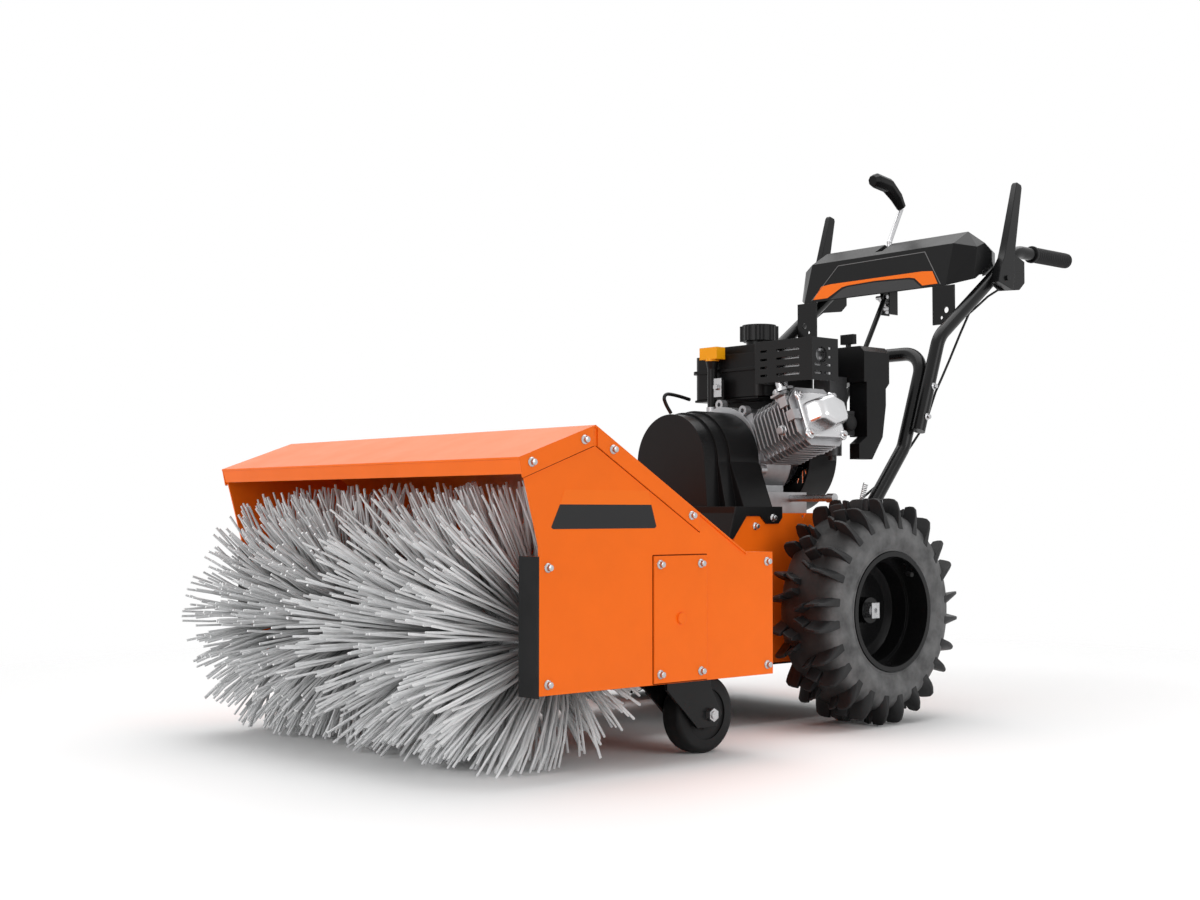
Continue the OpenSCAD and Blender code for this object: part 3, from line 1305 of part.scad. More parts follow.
// Clutch cables: thin sheathed cables from the lever brackets down behind the legs to the deck
cable_r = 2.2;
cable_sides = 8;
cable_route = [
    [220.4, 468, 786], [216, 440, 771], [211, 412, 750], [209, 388, 734], [208, 360, 692], [207, 327, 640],
    [205, 306, 606], [203, 290, 580], [198, 265, 520], [180, 246, 480], [160, 225, 440], [142, 186, 402],
    [130, 150, 374], [126, 120, 360], [125, 96, 357.3]
];
module clutch_cables() color(black) in_frame() both_sides() swept(cable_route, cable_r, 0, cable_sides);

hood_front();
hood_rear();
side_panels();
rear_wall();
access_covers();
edge_strips();
flange_bolts();
gear_case();
brush_shaft();
left_bristles();
right_bristles();
input_shaft();
brush_pulley();
caster_sockets();
left_caster_fork();
right_caster_fork();
left_caster_axle();
right_caster_axle();
left_caster_wheel();
right_caster_wheel();
main_frame();
belly_pan();
axle_bearings();
axle_shaft();
rims();
tyres();
hub_pins();
belt_cover();
brush_belt();
idler_arm();
crankcase();
crankshaft();
engine_pulley();
finned_cylinder();
valve_cover();
exhaust_pipe();
muffler_guard();
carburettor();
carb_cover();
primer_bulb();
throttle_knob();
fuel_tank();
fuel_cap();
blower_housing();
recoil_handle();
dipstick_tube();
dipstick();
drain_pipe();
lower_handle();
upper_handles();
grips();
console();
handle_brackets();
left_lever();
right_lever();
speed_lever();
speed_knob();
shift_rod();
clutch_cables();
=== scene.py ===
"""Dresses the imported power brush: strands, tyres, engine castings, tubes, finishes, light and camera."""
import json
import math

import bpy
import numpy as np
from bpy.props import FloatProperty, FloatVectorProperty, IntProperty, PointerProperty
from mathutils import Matrix


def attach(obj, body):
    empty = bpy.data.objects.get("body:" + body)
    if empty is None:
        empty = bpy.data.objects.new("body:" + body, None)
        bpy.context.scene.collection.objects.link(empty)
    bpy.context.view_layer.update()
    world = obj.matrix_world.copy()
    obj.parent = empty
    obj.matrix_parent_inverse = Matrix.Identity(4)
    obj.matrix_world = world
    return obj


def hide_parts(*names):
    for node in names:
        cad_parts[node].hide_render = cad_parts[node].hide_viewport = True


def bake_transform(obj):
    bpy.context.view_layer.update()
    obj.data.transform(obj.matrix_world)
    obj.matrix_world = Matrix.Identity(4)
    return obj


bl_info = {
    "name": "Power Brush Dresser",
    "version": (1, 0, 0),
    "blender": (4, 2, 0),
    "location": "View3D > Sidebar > Power Brush",
    "description": "Makes the looks of a walk-behind power brush around its packed solids",
    "category": "Add Mesh",
}

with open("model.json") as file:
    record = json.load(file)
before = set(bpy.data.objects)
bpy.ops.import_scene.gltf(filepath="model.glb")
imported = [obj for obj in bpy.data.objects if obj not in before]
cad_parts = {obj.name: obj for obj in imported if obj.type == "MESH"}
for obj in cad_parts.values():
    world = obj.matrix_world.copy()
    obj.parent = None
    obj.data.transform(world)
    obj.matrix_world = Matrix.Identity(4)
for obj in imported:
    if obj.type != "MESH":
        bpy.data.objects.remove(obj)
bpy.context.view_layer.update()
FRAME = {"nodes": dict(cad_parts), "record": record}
NODES = FRAME["nodes"]
MM = 0.001

# Places in the shared frame: the wheel axle along Y, and the brush axis as (y, z)
AXLE_Y = 0.100
BRUSH_CENTRE = (-0.643, 0.183)

# Millimetres from the axle: a wheel's middle, the panels' outer face, the handle tubes and the hand levers
WHEEL_Z, WHEEL_X = 190.5, 271.0
PANEL_X = 397.0
LEG_X, UPPER_X, GRIP_Z = 184.0, 209.7, 870.0
LEVER_PIVOT, LEVER_X, LEVER_LEAN = (462.0, 806.0), 227.3, 14.5
KNOB_LINE = [(-16, 475, 981), (-16, 458, 1001), (-16, 430, 1021), (-16, 392, 1026), (-16, 382, 1024)]
KNOB_R = [0.010, 0.0135, 0.0158, 0.0155, 0.011]
TUBE_R = 0.0127


# Shape helpers: whole arrays in, one mesh out

def at_axle(points):
    """Points measured in millimetres from the wheel axle, as metres in the shared frame."""
    p = np.asarray(points, float) * MM
    return p + np.array([0.0, AXLE_Y, 0.0])


def grid_faces(rows, cols):
    """Quads between rings of points, one ring a row."""
    i, j = np.meshgrid(np.arange(rows - 1), np.arange(cols), indexing="ij")
    k = (j + 1) % cols
    return np.stack([i * cols + j, i * cols + k, (i + 1) * cols + k, (i + 1) * cols + j], -1).reshape(-1, 4)


def skin(rows, cols):
    """Quads between rings of points, with a cap on the first and on the last ring."""
    ring = list(range(cols))
    last = (rows - 1) * cols
    return grid_faces(rows, cols).tolist() + [ring[::-1], [last + k for k in ring]]


def join(parts):
    """Several (points, list of faces) put after one another as one shape."""
    points, faces, first = [], [], 0
    for p, f in parts:
        points.append(np.asarray(p, float))
        faces += [[int(v) + first for v in face] for face in f]
        first += len(p)
    return np.concatenate(points), faces


def on_frame(parts):
    """Several shapes in millimetres from the axle, as one shape in the shared frame."""
    points, faces = join(parts)
    return at_axle(points), faces


def repeat(points, faces, matrices):
    """One shape set down at each 3 by 4 matrix, computed as one array."""
    m = np.asarray(matrices, float)
    p = np.einsum("kij,nj->kni", m[:, :, :3], points) + m[:, None, :, 3]
    n = len(points)
    out = [[v + k * n for v in f] for k in range(len(m)) for f in faces]
    return p.reshape(-1, 3), out


def piece(name, points, faces, material, body, slot, smooth=35.0, bevel=0.0, segments=2):
    """A mesh object at the origin that rides on a body, if one is named. Edges past an angle stay sharp."""
    mesh = bpy.data.meshes.new(name)
    mesh.from_pydata(np.asarray(points, float).tolist(), [], [list(map(int, f)) for f in faces])
    mesh.validate()
    obj = bpy.data.objects.new(name, mesh)
    bpy.context.scene.collection.objects.link(obj)
    mesh.materials.append(material)
    mesh.polygons.foreach_set("use_smooth", np.ones(len(mesh.polygons), bool))
    mesh.set_sharp_from_angle(angle=math.radians(smooth))
    if bevel:
        mod = obj.modifiers.new("edges", "BEVEL")
        mod.width = bevel
        mod.segments = segments
        mod.limit_method = "ANGLE"
        mod.angle_limit = math.radians(smooth)
        mod.harden_normals = True
    if body:
        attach(obj, body)
    return obj


def unit(v):
    """Vectors scaled to a length of one."""
    v = np.asarray(v, float)
    return v / np.linalg.norm(v, axis=-1, keepdims=True)


def rounded_path(corners, radius, steps):
    """A line through corners with a circular arc of the radius at each inner corner."""
    p = np.asarray(corners, float)
    out = [p[:1]]
    for i in range(1, len(p) - 1):
        a, b = unit(p[i] - p[i - 1]), unit(p[i + 1] - p[i])
        turn = math.acos(np.clip(a @ b, -1, 1))
        inward = unit(b - (a @ b) * a)
        mid = p[i] - a * radius * math.tan(turn / 2) + inward * radius
        w = np.linspace(0, turn, steps + 1)[:, None]
        out.append(mid + radius * (a * np.sin(w) - inward * np.cos(w)))
    return np.concatenate(out + [p[-1:]])


def smooth_path(points, steps=8):
    """A smooth curve through the points: a cubic from each to the next, parallel at each point to the line
    between its two neighbours."""
    p = np.asarray(points, float)
    q = np.concatenate([2 * p[:1] - p[1:2], p, 2 * p[-1:] - p[-2:-1]])
    t = np.linspace(0, 1, steps, endpoint=False)[:, None]
    out = []
    for a, b, c, d in zip(q, q[1:], q[2:], q[3:]):
        square, cube = 2 * a - 5 * b + 4 * c - d, 3 * b - a - 3 * c + d
        out.append(0.5 * (2 * b + (c - a) * t + square * t ** 2 + cube * t ** 3))
    return np.concatenate(out + [p[-1:]])


def tube(path, radius, sides):
    """A round section of the radius, one number or one per point, carried square along a path."""
    p = np.asarray(path, float)
    d = unit(np.gradient(p, axis=0))
    n = len(p)
    s = np.cross(d[0], [0.31, 0.52, 0.80])
    side = np.zeros_like(p)
    for i in range(n):
        s = unit(s - (s @ d[i]) * d[i])
        side[i] = s
    up = np.cross(d, side)
    w = np.linspace(0, 2 * math.pi, sides, endpoint=False)[None, :, None]
    r = np.broadcast_to(np.asarray(radius, float), (n,))[:, None, None]
    ring = p[:, None] + r * (side[:, None] * np.cos(w) + up[:, None] * np.sin(w))
    return ring.reshape(-1, 3), skin(n, sides)


def revolve(profile, centre, axis, segments):
    """A closed profile of (radius, place along the axis) turned about an axis line through the centre."""
    q = np.asarray(profile, float)
    turned = np.roll(q, -1, 0)
    if np.sum(q[:, 1] * turned[:, 0] - turned[:, 1] * q[:, 0]) > 0:
        q = q[::-1]
    w = np.linspace(0, 2 * math.pi, segments, endpoint=False)
    c, s = np.cos(w)[None, :], np.sin(w)[None, :]
    r, a = q[:, 0][:, None], q[:, 1][:, None] + 0 * c
    columns = {"x": (a, r * c, r * s), "y": (r * s, a, r * c), "z": (r * c, r * s, a)}[axis]
    points = np.stack(columns, -1).reshape(-1, 3) + np.asarray(centre, float)
    return points, (grid_faces(len(q) + 1, segments) % len(points)).tolist()


def prism(outline, low, high, axis):
    """A flat outline carried from low to high along an axis. Its corners are (y, z), (x, z) or (x, y)."""
    q = np.asarray(outline, float)
    points = np.concatenate([np.insert(q, "xyz".index(axis), end, axis=1) for end in (low, high)])
    faces = skin(2, len(q))
    turned = np.roll(q, -1, 0)
    area = 0.5 * np.sum(q[:, 0] * turned[:, 1] - turned[:, 0] * q[:, 1])
    if (area > 0) == (axis == "y"):
        faces = [f[::-1] for f in faces]
    return points, faces


def rectangle(x0, y0, x1, y1):
    """Corners of a rectangle from its low to its high corner."""
    return [(x0, y0), (x1, y0), (x1, y1), (x0, y1)]


# Finishes

def add(tree, kind, values=(), **settings):
    """A shader node of a kind, with its own settings and the values of its sockets."""
    node = tree.nodes.new("ShaderNode" + kind)
    for key, value in settings.items():
        setattr(node, key, value)
    for socket, value in dict(values).items():
        node.inputs[socket].default_value = value
    return node


def nodes_of(name):
    """A new material with a shader, object coordinates and its node tree."""
    mat = bpy.data.materials.new(name)
    mat.use_nodes = True
    tree = mat.node_tree
    tree.nodes.clear()
    out = add(tree, "OutputMaterial")
    shader = add(tree, "BsdfPrincipled")
    tree.links.new(shader.outputs["BSDF"], out.inputs["Surface"])
    return mat, tree, shader, add(tree, "TexCoord").outputs["Object"]


def noise(tree, coords, scale, detail):
    """A noise pattern of so many waves a metre."""
    n = add(tree, "TexNoise", {"Scale": scale, "Detail": detail, "Roughness": 0.55})
    tree.links.new(coords, n.inputs["Vector"])
    return n.outputs["Fac"]


def between(tree, fac, low, high):
    """A number that runs from low to high over the middle of a noise pattern."""
    n = add(tree, "MapRange", {"From Min": 0.3, "From Max": 0.7, "To Min": low, "To Max": high})
    tree.links.new(fac, n.inputs["Value"])
    return n.outputs["Result"]


def blend_colours(tree, fac, a, b):
    """A colour that runs from a to b with a number."""
    n = add(tree, "Mix", {6: (*a, 1.0), 7: (*b, 1.0)}, data_type="RGBA")
    tree.links.new(fac, n.inputs[0])
    return n.outputs[2]


def relief(tree, shader, height, strength, distance, round_edges):
    """Bumps from a height, over edges that look rounded by so many metres."""
    bump = add(tree, "Bump", {"Strength": strength, "Distance": distance})
    tree.links.new(height, bump.inputs["Height"])
    if round_edges:
        edge = add(tree, "Bevel", {"Radius": round_edges}, samples=4)
        tree.links.new(edge.outputs["Normal"], bump.inputs["Normal"])
    tree.links.new(bump.outputs["Normal"], shader.inputs["Normal"])


def finish(name, colour, spread, rough, grain, bump, depth, metal=0.0, coat=0.0, patch=14.0,
           round_edges=0.0, second=None, specular=0.25):
    """A surface whose colour and gloss vary over broad patches, with a fine grain in relief."""
    mat, tree, shader, coords = nodes_of(name)
    broad = noise(tree, coords, patch, 4.0)
    low = high = np.asarray(colour, float)
    if second is None:
        low, high = low * (1 - spread), np.minimum(high * (1 + spread), 1.0)
    else:
        high = np.asarray(second)
    base = blend_colours(tree, between(tree, broad, 0.0, 1.0), low, high)
    tree.links.new(base, shader.inputs["Base Color"])
    fine = noise(tree, coords, grain, 2.0)
    tree.links.new(between(tree, broad, rough[1], rough[0]), shader.inputs["Roughness"])
    for socket, value in (("Metallic", metal), ("Coat Weight", coat), ("Coat Roughness", 0.12),
                          ("Specular IOR Level", specular)):
        shader.inputs[socket].default_value = value
    relief(tree, shader, fine, bump, depth, round_edges)
    return mat


def ring_tint(mat, centre, near, far, low, high):
    """Multiply a finish's colour by a number that runs from low to high between two distances from a line
    along X through the centre (y, z)."""
    tree = mat.node_tree
    shader = next(n for n in tree.nodes if n.type == "BSDF_PRINCIPLED")
    coords = next(n for n in tree.nodes if n.type == "TEX_COORD").outputs["Object"]
    shift = add(tree, "VectorMath", {1: (0, 1, 1), 2: (0, -centre[0], -centre[1])}, operation="MULTIPLY_ADD")
    tree.links.new(coords, shift.inputs[0])
    length = add(tree, "VectorMath", operation="LENGTH")
    tree.links.new(shift.outputs["Vector"], length.inputs[0])
    ramp = add(tree, "MapRange", {"From Min": near, "From Max": far, "To Min": low, "To Max": high},
               interpolation_type="SMOOTHSTEP")
    tree.links.new(length.outputs["Value"], ramp.inputs["Value"])
    tint = add(tree, "Mix", {0: 1.0}, data_type="RGBA", blend_type="MULTIPLY")
    base = shader.inputs["Base Color"]
    tree.links.new(base.links[0].from_socket, tint.inputs[6])
    tree.links.new(ramp.outputs["Result"], tint.inputs[7])
    tree.links.new(tint.outputs[2], base)


def make_finishes():
    """Every finish of the machine, by name."""
    p = bpy.context.scene.power_brush_finish
    orange, black, strand = tuple(p.orange), tuple(p.black), tuple(p.strand)
    dark = [tuple(k * c for c in black) for k in (1.1, 1.2)]
    f = {}
    f["orange"] = finish("orange powder coat", orange, 0.03, (0.3, 0.36), 1500, 0.05, 0.0002, coat=0.05,
                         round_edges=0.0012, specular=0.16)
    f["black paint"] = finish("black gloss paint", black, 0.15, (0.2, 0.28), 1600, 0.04, 0.0002, coat=0.04,
                              round_edges=0.0008, specular=0.2)
    f["black plastic"] = finish("black moulded plastic", dark[0], 0.15, (0.3, 0.38), 2600, 0.12, 0.0002,
                                round_edges=0.0012, specular=0.14)
    f["rubber"] = finish("black rubber", dark[1], 0.2, (0.55, 0.68), 1400, 0.15, 0.0003, round_edges=0.0008)
    f["tyre"] = finish("tyre rubber", (0.012, 0.012, 0.0125), 0.2, (0.42, 0.55), 700, 0.16, 0.0004, patch=22,
                       second=(0.024, 0.024, 0.025), round_edges=0.0008)
    f["sidewall"] = finish("weathered sidewall", (0.06, 0.06, 0.061), 0.2, (0.5, 0.64), 500, 0.2, 0.0005,
                           patch=34, second=(0.15, 0.15, 0.151))
    # Darker towards the tread, to about a fifth of the colour: partly the tread's own blacker rubber, partly
    # painted shade between the lugs
    ring_tint(f["sidewall"], (AXLE_Y, WHEEL_Z * MM), 0.146, 0.168, 1.0, 0.22)
    f["cast"] = finish("sand cast alloy", (0.4, 0.4, 0.41), 0.1, (0.34, 0.5), 1300, 0.3, 0.0004, metal=0.85,
                       patch=30, round_edges=0.0008)
    f["dark cast"] = finish("dark cast alloy", (0.06, 0.06, 0.062), 0.2, (0.34, 0.5), 1300, 0.3, 0.0004,
                            metal=0.5, patch=60, round_edges=0.0008)
    f["bright alloy"] = finish("bright cast alloy", (0.64, 0.64, 0.65), 0.04, (0.2, 0.3), 1500, 0.1, 0.0002,
                               metal=0.9, patch=18, round_edges=0.0012)
    f["steel"] = finish("zinc plated steel", (0.48, 0.48, 0.49), 0.08, (0.22, 0.32), 1200, 0.06, 0.0002,
                        metal=0.95, patch=60, round_edges=0.0005)
    f["strand"] = finish("grey poly strand", strand, 0.12, (0.4, 0.5), 300, 0.05, 0.0002, patch=40)
    # Painted shade: the strands' colour falls to about a quarter towards the core, where shade gathers deep in
    # the brush
    ring_tint(f["strand"], BRUSH_CENTRE, 0.06, 0.175, 0.26, 1.0)
    # Painted highlight: the cut tip faces are near white, brighter than the strands' own grey, so they look
    # lit
    f["strand tip"] = finish("cut strand tip", (0.93, 0.93, 0.93), 0.03, (0.5, 0.6), 300, 0.02, 0.0002)
    f["yellow"] = finish("yellow plastic", (0.95, 0.42, 0.004), 0.04, (0.3, 0.36), 1500, 0.05, 0.0002,
                         round_edges=0.001)
    for key, name, colour, spread, rough in (
            ("film black", "black film", (0.014, 0.014, 0.015), 0.05, (0.3, 0.36)),
            ("film grey", "dark grey film", (0.035, 0.035, 0.036), 0.05, (0.45, 0.5)),
            ("film line", "pale line", (0.16, 0.16, 0.16), 0.05, (0.4, 0.46)),
            ("film orange", "orange film", (0.95, 0.17, 0.003), 0.02, (0.3, 0.36))):
        f[key] = finish(name, colour, spread, rough, 1500, 0.03, 0.0001)
    # Painted shadow: a dark orange-brown for the strips beside the panels' proud edges
    f["film seam"] = finish("shaded seam", (0.16, 0.024, 0.0015), 0.05, (0.6, 0.7), 1500, 0.03, 0.0001,
                            specular=0.05)
    return f


FINISH = {}
NODE_FINISH = {"carburettor": "dark cast"}
SLOT_FINISH = {
    "orange_paint": "orange", "black_paint": "black paint", "black_plastic": "black plastic",
    "black_rubber": "rubber", "tyre_rubber": "tyre", "caster_rubber": "rubber", "bright_steel": "steel",
    "cast_alloy": "cast", "bright_alloy": "bright alloy", "bristle_plastic": "strand",
    "yellow_plastic": "yellow", "cable_sheath": "rubber",
}


class PowerBrushFinish(bpy.types.PropertyGroup):
    """Colours of the machine."""
    orange: FloatVectorProperty(name="Orange", description="Colour of the painted sheet metal",
                                subtype="COLOR", default=(0.95, 0.16, 0.006), min=0, max=1)
    black: FloatVectorProperty(name="Black", description="Colour of the black paint", subtype="COLOR",
                               default=(0.0055, 0.0055, 0.0058), min=0, max=1)
    strand: FloatVectorProperty(name="Strand", description="Colour of the brush strands", subtype="COLOR",
                                default=(0.72, 0.725, 0.73), min=0, max=1)


class PowerBrushSizes(bpy.types.PropertyGroup):
    """Sizes and counts of the dressed pieces."""
    strands: IntProperty(name="Strands", description="Strands on each half of the brush", default=1330,
                         min=300, max=5000)
    strand_d: FloatProperty(name="Strand width", description="Width of one strand", default=0.0039, min=0.001,
                            max=0.01, unit="LENGTH")
    lug_pairs: IntProperty(name="Lug pairs", description="Pairs of lugs around each shoulder of a tyre",
                           default=12, min=8, max=20)
    fins: IntProperty(name="Fins", description="Fins on the cylinder", default=11, min=6, max=16)
    seed: IntProperty(name="Seed", description="Seed of the strand scatter", default=7)


class POWERBRUSH_OT_finishes(bpy.types.Operator):
    """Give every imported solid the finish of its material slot"""
    bl_idname = "powerbrush.finishes"
    bl_label = "Finishes"

    def execute(self, context):
        FINISH.update(make_finishes())
        for part in FRAME["record"]["subparts"]:
            look = NODE_FINISH.get(part["node"], SLOT_FINISH[part["material_slot"]])
            materials = NODES[part["node"]].data.materials
            materials.clear()
            materials.append(FINISH[look])
        return {"FINISHED"}


class POWERBRUSH_OT_strands(bpy.types.Operator):
    """Stand the poly strands on both halves of the brush core"""
    bl_idname = "powerbrush.strands"
    bl_label = "Strands"

    def execute(self, context):
        sizes = context.scene.power_brush_sizes
        for side, hand in ((1, "left"), (-1, "right")):
            points, faces, flanks = strand_field(sizes.strands, sizes.strand_d / 2, sizes.seed + side, side)
            obj = piece("strands_" + hand, points, faces, FINISH["strand"], "brush", "bristle_plastic", 50)
            # The tip faces take the painted tip highlight
            obj.data.materials.append(FINISH["strand tip"])
            is_tip = np.arange(len(faces)) >= flanks
            obj.data.polygons.foreach_set("material_index", is_tip.astype(np.int32))
            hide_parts(hand + "_bristles")
        return {"FINISHED"}


def strand_field(count, radius, seed, side):
    """Strands from the core to the brush's outer radius. They stand in clumps of three that share a lean
    along X and a sweep around the axis. Each is a slightly bent line, carried as a five-sided section
    through four rings. Returns the points, the faces and the number of side faces, after which the cut tips
    follow."""
    rng = np.random.default_rng(seed)
    root_r, tip_r, extra_at_top = 0.034, 0.205, 0.014
    low_rear_r, floor_z = 0.178, 0.004
    x0, x1 = 0.049, 0.3535
    rows, clump, corners = 26, 3, 5

    # Clumps in staggered rows
    around = max(1, count // (clump * rows))
    row, place = [v.ravel() for v in np.meshgrid(np.arange(rows), np.arange(around), indexing="ij")]
    groups = len(row)
    gx = x0 + (x1 - x0) * (row + 0.5) / rows + rng.normal(0, 0.004, groups)
    gturn = 2 * np.pi * (place + 0.5 * (row % 2) + rng.uniform(-0.35, 0.35, groups)) / around
    glean = rng.normal(0, 0.007, groups) + 0.006 * np.sin(row * 1.9 + gturn)
    gsweep = rng.normal(0, 0.04, groups)

    # Strands: the ones near the gear case lean over it, and the front ones are combed towards -X
    of = np.repeat(np.arange(groups), clump)
    n = len(of)
    x = np.clip(gx[of] + rng.normal(0, 0.005, n), x0, x1)
    turn = gturn[of] + rng.normal(0, 0.06, n)
    rise, rear = np.sin(turn), np.cos(turn)
    ahead = rear <= 0.45
    inward = np.where(ahead, np.clip(1 - (x - x0) / 0.1, 0, 1), 0.0) * rng.uniform(0.02, 0.085, n)
    comb = np.where(ahead, 0.04, 0.0) * np.clip((side * x + 0.34) / 0.3, 0, 1)
    lean_x = glean[of] + rng.normal(0, 0.003, n)
    sweep = gsweep[of] + rng.normal(0, 0.012, n)
    bend = rng.normal(0, 0.03, n)
    worn = np.minimum(np.abs(rng.normal(0, 0.016, n)), 0.06)
    reach = tip_r + extra_at_top * np.clip(rise, 0, 1) ** 2 - worn
    reach = np.where((rear > 0.2) & (rise < 0.2), np.minimum(reach, low_rear_r), reach)

    # Middle lines through four places from root to tip
    t = np.array([0.0, 0.4, 0.72, 1.0])[None, :]
    rings = t.shape[1]
    r = root_r + (reach[:, None] - root_r) * t
    a = turn[:, None] + sweep[:, None] * t + bend[:, None] * t * t
    xs = np.clip(x[:, None] + lean_x[:, None] * t ** 1.3, x0 - 0.001, x1 + 0.002) - inward[:, None] * t ** 2.2
    path = np.stack([side * xs - comb[:, None] * t ** 1.4, r * np.cos(a), r * np.sin(a)], -1)
    path = path + np.array([0.0, *BRUSH_CENTRE])
    path[:, :, 2] = np.maximum(path[:, :, 2], floor_z)

    # Sections around the lines
    d = unit(np.gradient(path, axis=1))
    s = unit(np.cross(d, np.array([1.0, 0.0, 0.0])))
    u = np.cross(s, d)
    w = np.linspace(0, 2 * np.pi, corners, endpoint=False) + rng.uniform(0, 6.3, n)[:, None]
    w = w[:, None, :, None]
    width = radius * rng.uniform(0.92, 1.06, n)[:, None, None, None]
    ring = path[:, :, None] + width * (s[:, :, None] * np.cos(w) - u[:, :, None] * np.sin(w))
    first = (np.arange(n) * rings * corners)[:, None, None]
    faces = (grid_faces(rings, corners)[None] + first).reshape(-1, 4).tolist()
    tips = ((rings - 1) * corners + np.arange(corners)[None] + first[:, 0]).tolist()
    return ring.reshape(-1, 3), faces + tips, len(faces)


class POWERBRUSH_OT_tyres(bpy.types.Operator):
    """Turn the tyre carcasses and set the lugs on them in pairs"""
    bl_idname = "powerbrush.tyres"
    bl_label = "Tyres"

    def execute(self, context):
        pairs = context.scene.power_brush_sizes.lug_pairs
        walls, lugs = on_frame([carcass(1), carcass(-1)]), on_frame([lug_ring(1, pairs), lug_ring(-1, pairs)])
        obj = piece("tyre_carcasses", *walls, FINISH["sidewall"], "wheels", "tyre_rubber", 40)
        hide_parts("tyres")
        obj = piece("tyre_lugs", *lugs, FINISH["tyre"], "wheels", "tyre_rubber", 25, 0.0012)
        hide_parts("tyres")
        return {"FINISHED"}


def carcass(side):
    """The tyre's bulged section: a tread arc, two bellied sidewalls and two beads, turned about the axle."""
    half = [(170, 0), (169.6, 14), (168, 28), (164.5, 40), (158, 50), (148, 57), (136, 60.5), (124, 61),
            (113, 59.5), (106, 57.5), (104.5, 57), (103.5, 58), (102, 58.2), (100.6, 56.5), (99.5, 53),
            (96.5, 50)]
    inside = [(110, -44), (156, -40), (160, 0), (156, 40), (110, 44)]
    profile = half[::-1] + [(r, -a) for r, a in half[1:]] + inside
    return revolve(profile, (side * WHEEL_X, 0, WHEEL_Z), "x", 160)


def bar(u, crown, foot, lead, front, rear, tip):
    """One tread bar along X: rows of foot and crown corners, turned by the lead in degrees, with a steep
    front flank and a sloping rear flank. The tip, in degrees, leans the crown round."""
    crown_half = np.full(len(u), 2.4)
    rows = []
    for radius, before, after, turned in ((foot, front, rear, 0.0), (crown, crown_half, crown_half, tip)):
        for offset in (-before, after):
            turn = np.radians(lead + turned) + offset / radius
            rows.append(np.stack([u, radius * np.sin(turn), radius * np.cos(turn)], -1))
    low_l, low_r, top_l, top_r = rows
    points = np.stack([low_l, top_l, top_r, low_r], 1).reshape(-1, 3)
    return points, [f[::-1] for f in skin(len(u), 4)]


def lug_ring(side, pairs):
    """Lugs in pairs on each shoulder, with two arms that run in from each pair to the middle of the tread.
    The two shoulders are half a pitch apart."""
    lugs = []
    for way in (-1, 1):
        u = np.array([27.0, 38.0, 47.0, 53.0, 58.0, 60.0])
        crown = np.array([189.6, 190.2, 189.0, 184.5, 172.0, 160.0])
        foot = np.array([162.0, 158.0, 152.0, 146.0, 141.0, 139.0])
        lead = way * np.array([5.6, 6.2, 6.6, 6.9, 7.1, 7.2])
        rear = np.array([11.0, 12.0, 13.0, 13.0, 11.0, 8.0])
        lugs.append(bar(u, crown, foot, lead, np.full(6, 4.0), rear, -1.1))
        u = np.array([3.0, 9.0, 16.0, 22.0])
        crown = np.array([188.8, 189.6, 189.8, 188.6])
        foot = np.array([166.0, 165.5, 164.5, 163.0])
        lead = way * np.array([2.6, 3.0, 4.2, 5.3])
        lugs.append(bar(u, crown, foot, lead, np.full(4, 6.5), np.full(4, 6.5), 0.0))
    points, faces = join(lugs)
    places = []
    for k in range(pairs):
        for hand in (1, -1):
            w = 2 * math.pi * (k + (0.5 if hand < 0 else 0.0)) / pairs
            c, s = math.cos(w), math.sin(w)
            places.append([[hand, 0, 0, side * WHEEL_X], [0, c, -s, 0], [0, s, c, WHEEL_Z]])
    n = len(faces)
    points, faces = repeat(points, faces, places)
    return points, [f if (k // n) % 2 == 0 else f[::-1] for k, f in enumerate(faces)]


class POWERBRUSH_OT_handles(bpy.types.Operator):
    """Bend the handle tubes and mould the grips on them"""
    bl_idname = "powerbrush.handles"
    bl_label = "Handles"

    def execute(self, context):
        paint = FINISH["black paint"]
        lower, upper = handle_lines()
        yoke = tube(at_axle(lower), TUBE_R, 40)
        obj = piece("lower_handle_dressed", *yoke, paint, "chassis", "black_paint")
        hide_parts("lower_handle")
        uppers = [tube(at_axle(upper * np.array([side, 1, 1])), TUBE_R, 40) for side in (1, -1)]
        obj = piece("upper_handles_dressed", *join(uppers), paint, "chassis", "black_paint")
        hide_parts("upper_handles")
        grips = on_frame([grip(1), grip(-1)])
        obj = piece("grips_dressed", *grips, FINISH["rubber"], "chassis", "black_rubber", 40)
        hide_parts("grips")
        return {"FINISHED"}


STEM = [(228, 505), (293, 683)]


def stem_y(z):
    """Place of the sloping handle stems at a height."""
    (y0, z0), (y1, z1) = STEM
    return y0 + (z - z0) * (y1 - y0) / (z1 - z0)


def handle_lines():
    """Middle lines of the bent tubes: the yoke with its crossbar, and one upper handle."""
    leg = [(LEG_X, 75, 310), (LEG_X, stem_y(475), 475), (LEG_X, stem_y(655), 655)]
    yoke = leg + [(-x, y, z) for x, y, z in leg[::-1]]
    upper = [(UPPER_X, y, z) for y, z in STEM + [(545, GRIP_Z), (719.7, GRIP_Z)]]
    return rounded_path(yoke, 46, 12), rounded_path(upper, 60, 12)


def grip(side):
    """A moulded hand grip: a collar, ribs in the form of a sine along its length, and a rounded end."""
    a = np.linspace(602, 719, 118)
    r = 15.0 + 0.5 * np.sin((a - 602) * 2 * math.pi / 6.5)
    collar = [(12.75, 596), (16.6, 596), (17, 597), (17, 601), (16.4, 602)]
    end = [(15.0, 721), (13.2, 723.2), (10, 724), (0.01, 724), (0.01, 719.9), (12.75, 719.9)]
    return revolve(collar + list(zip(r, a)) + end, (side * UPPER_X, 0, GRIP_Z), "y", 48)


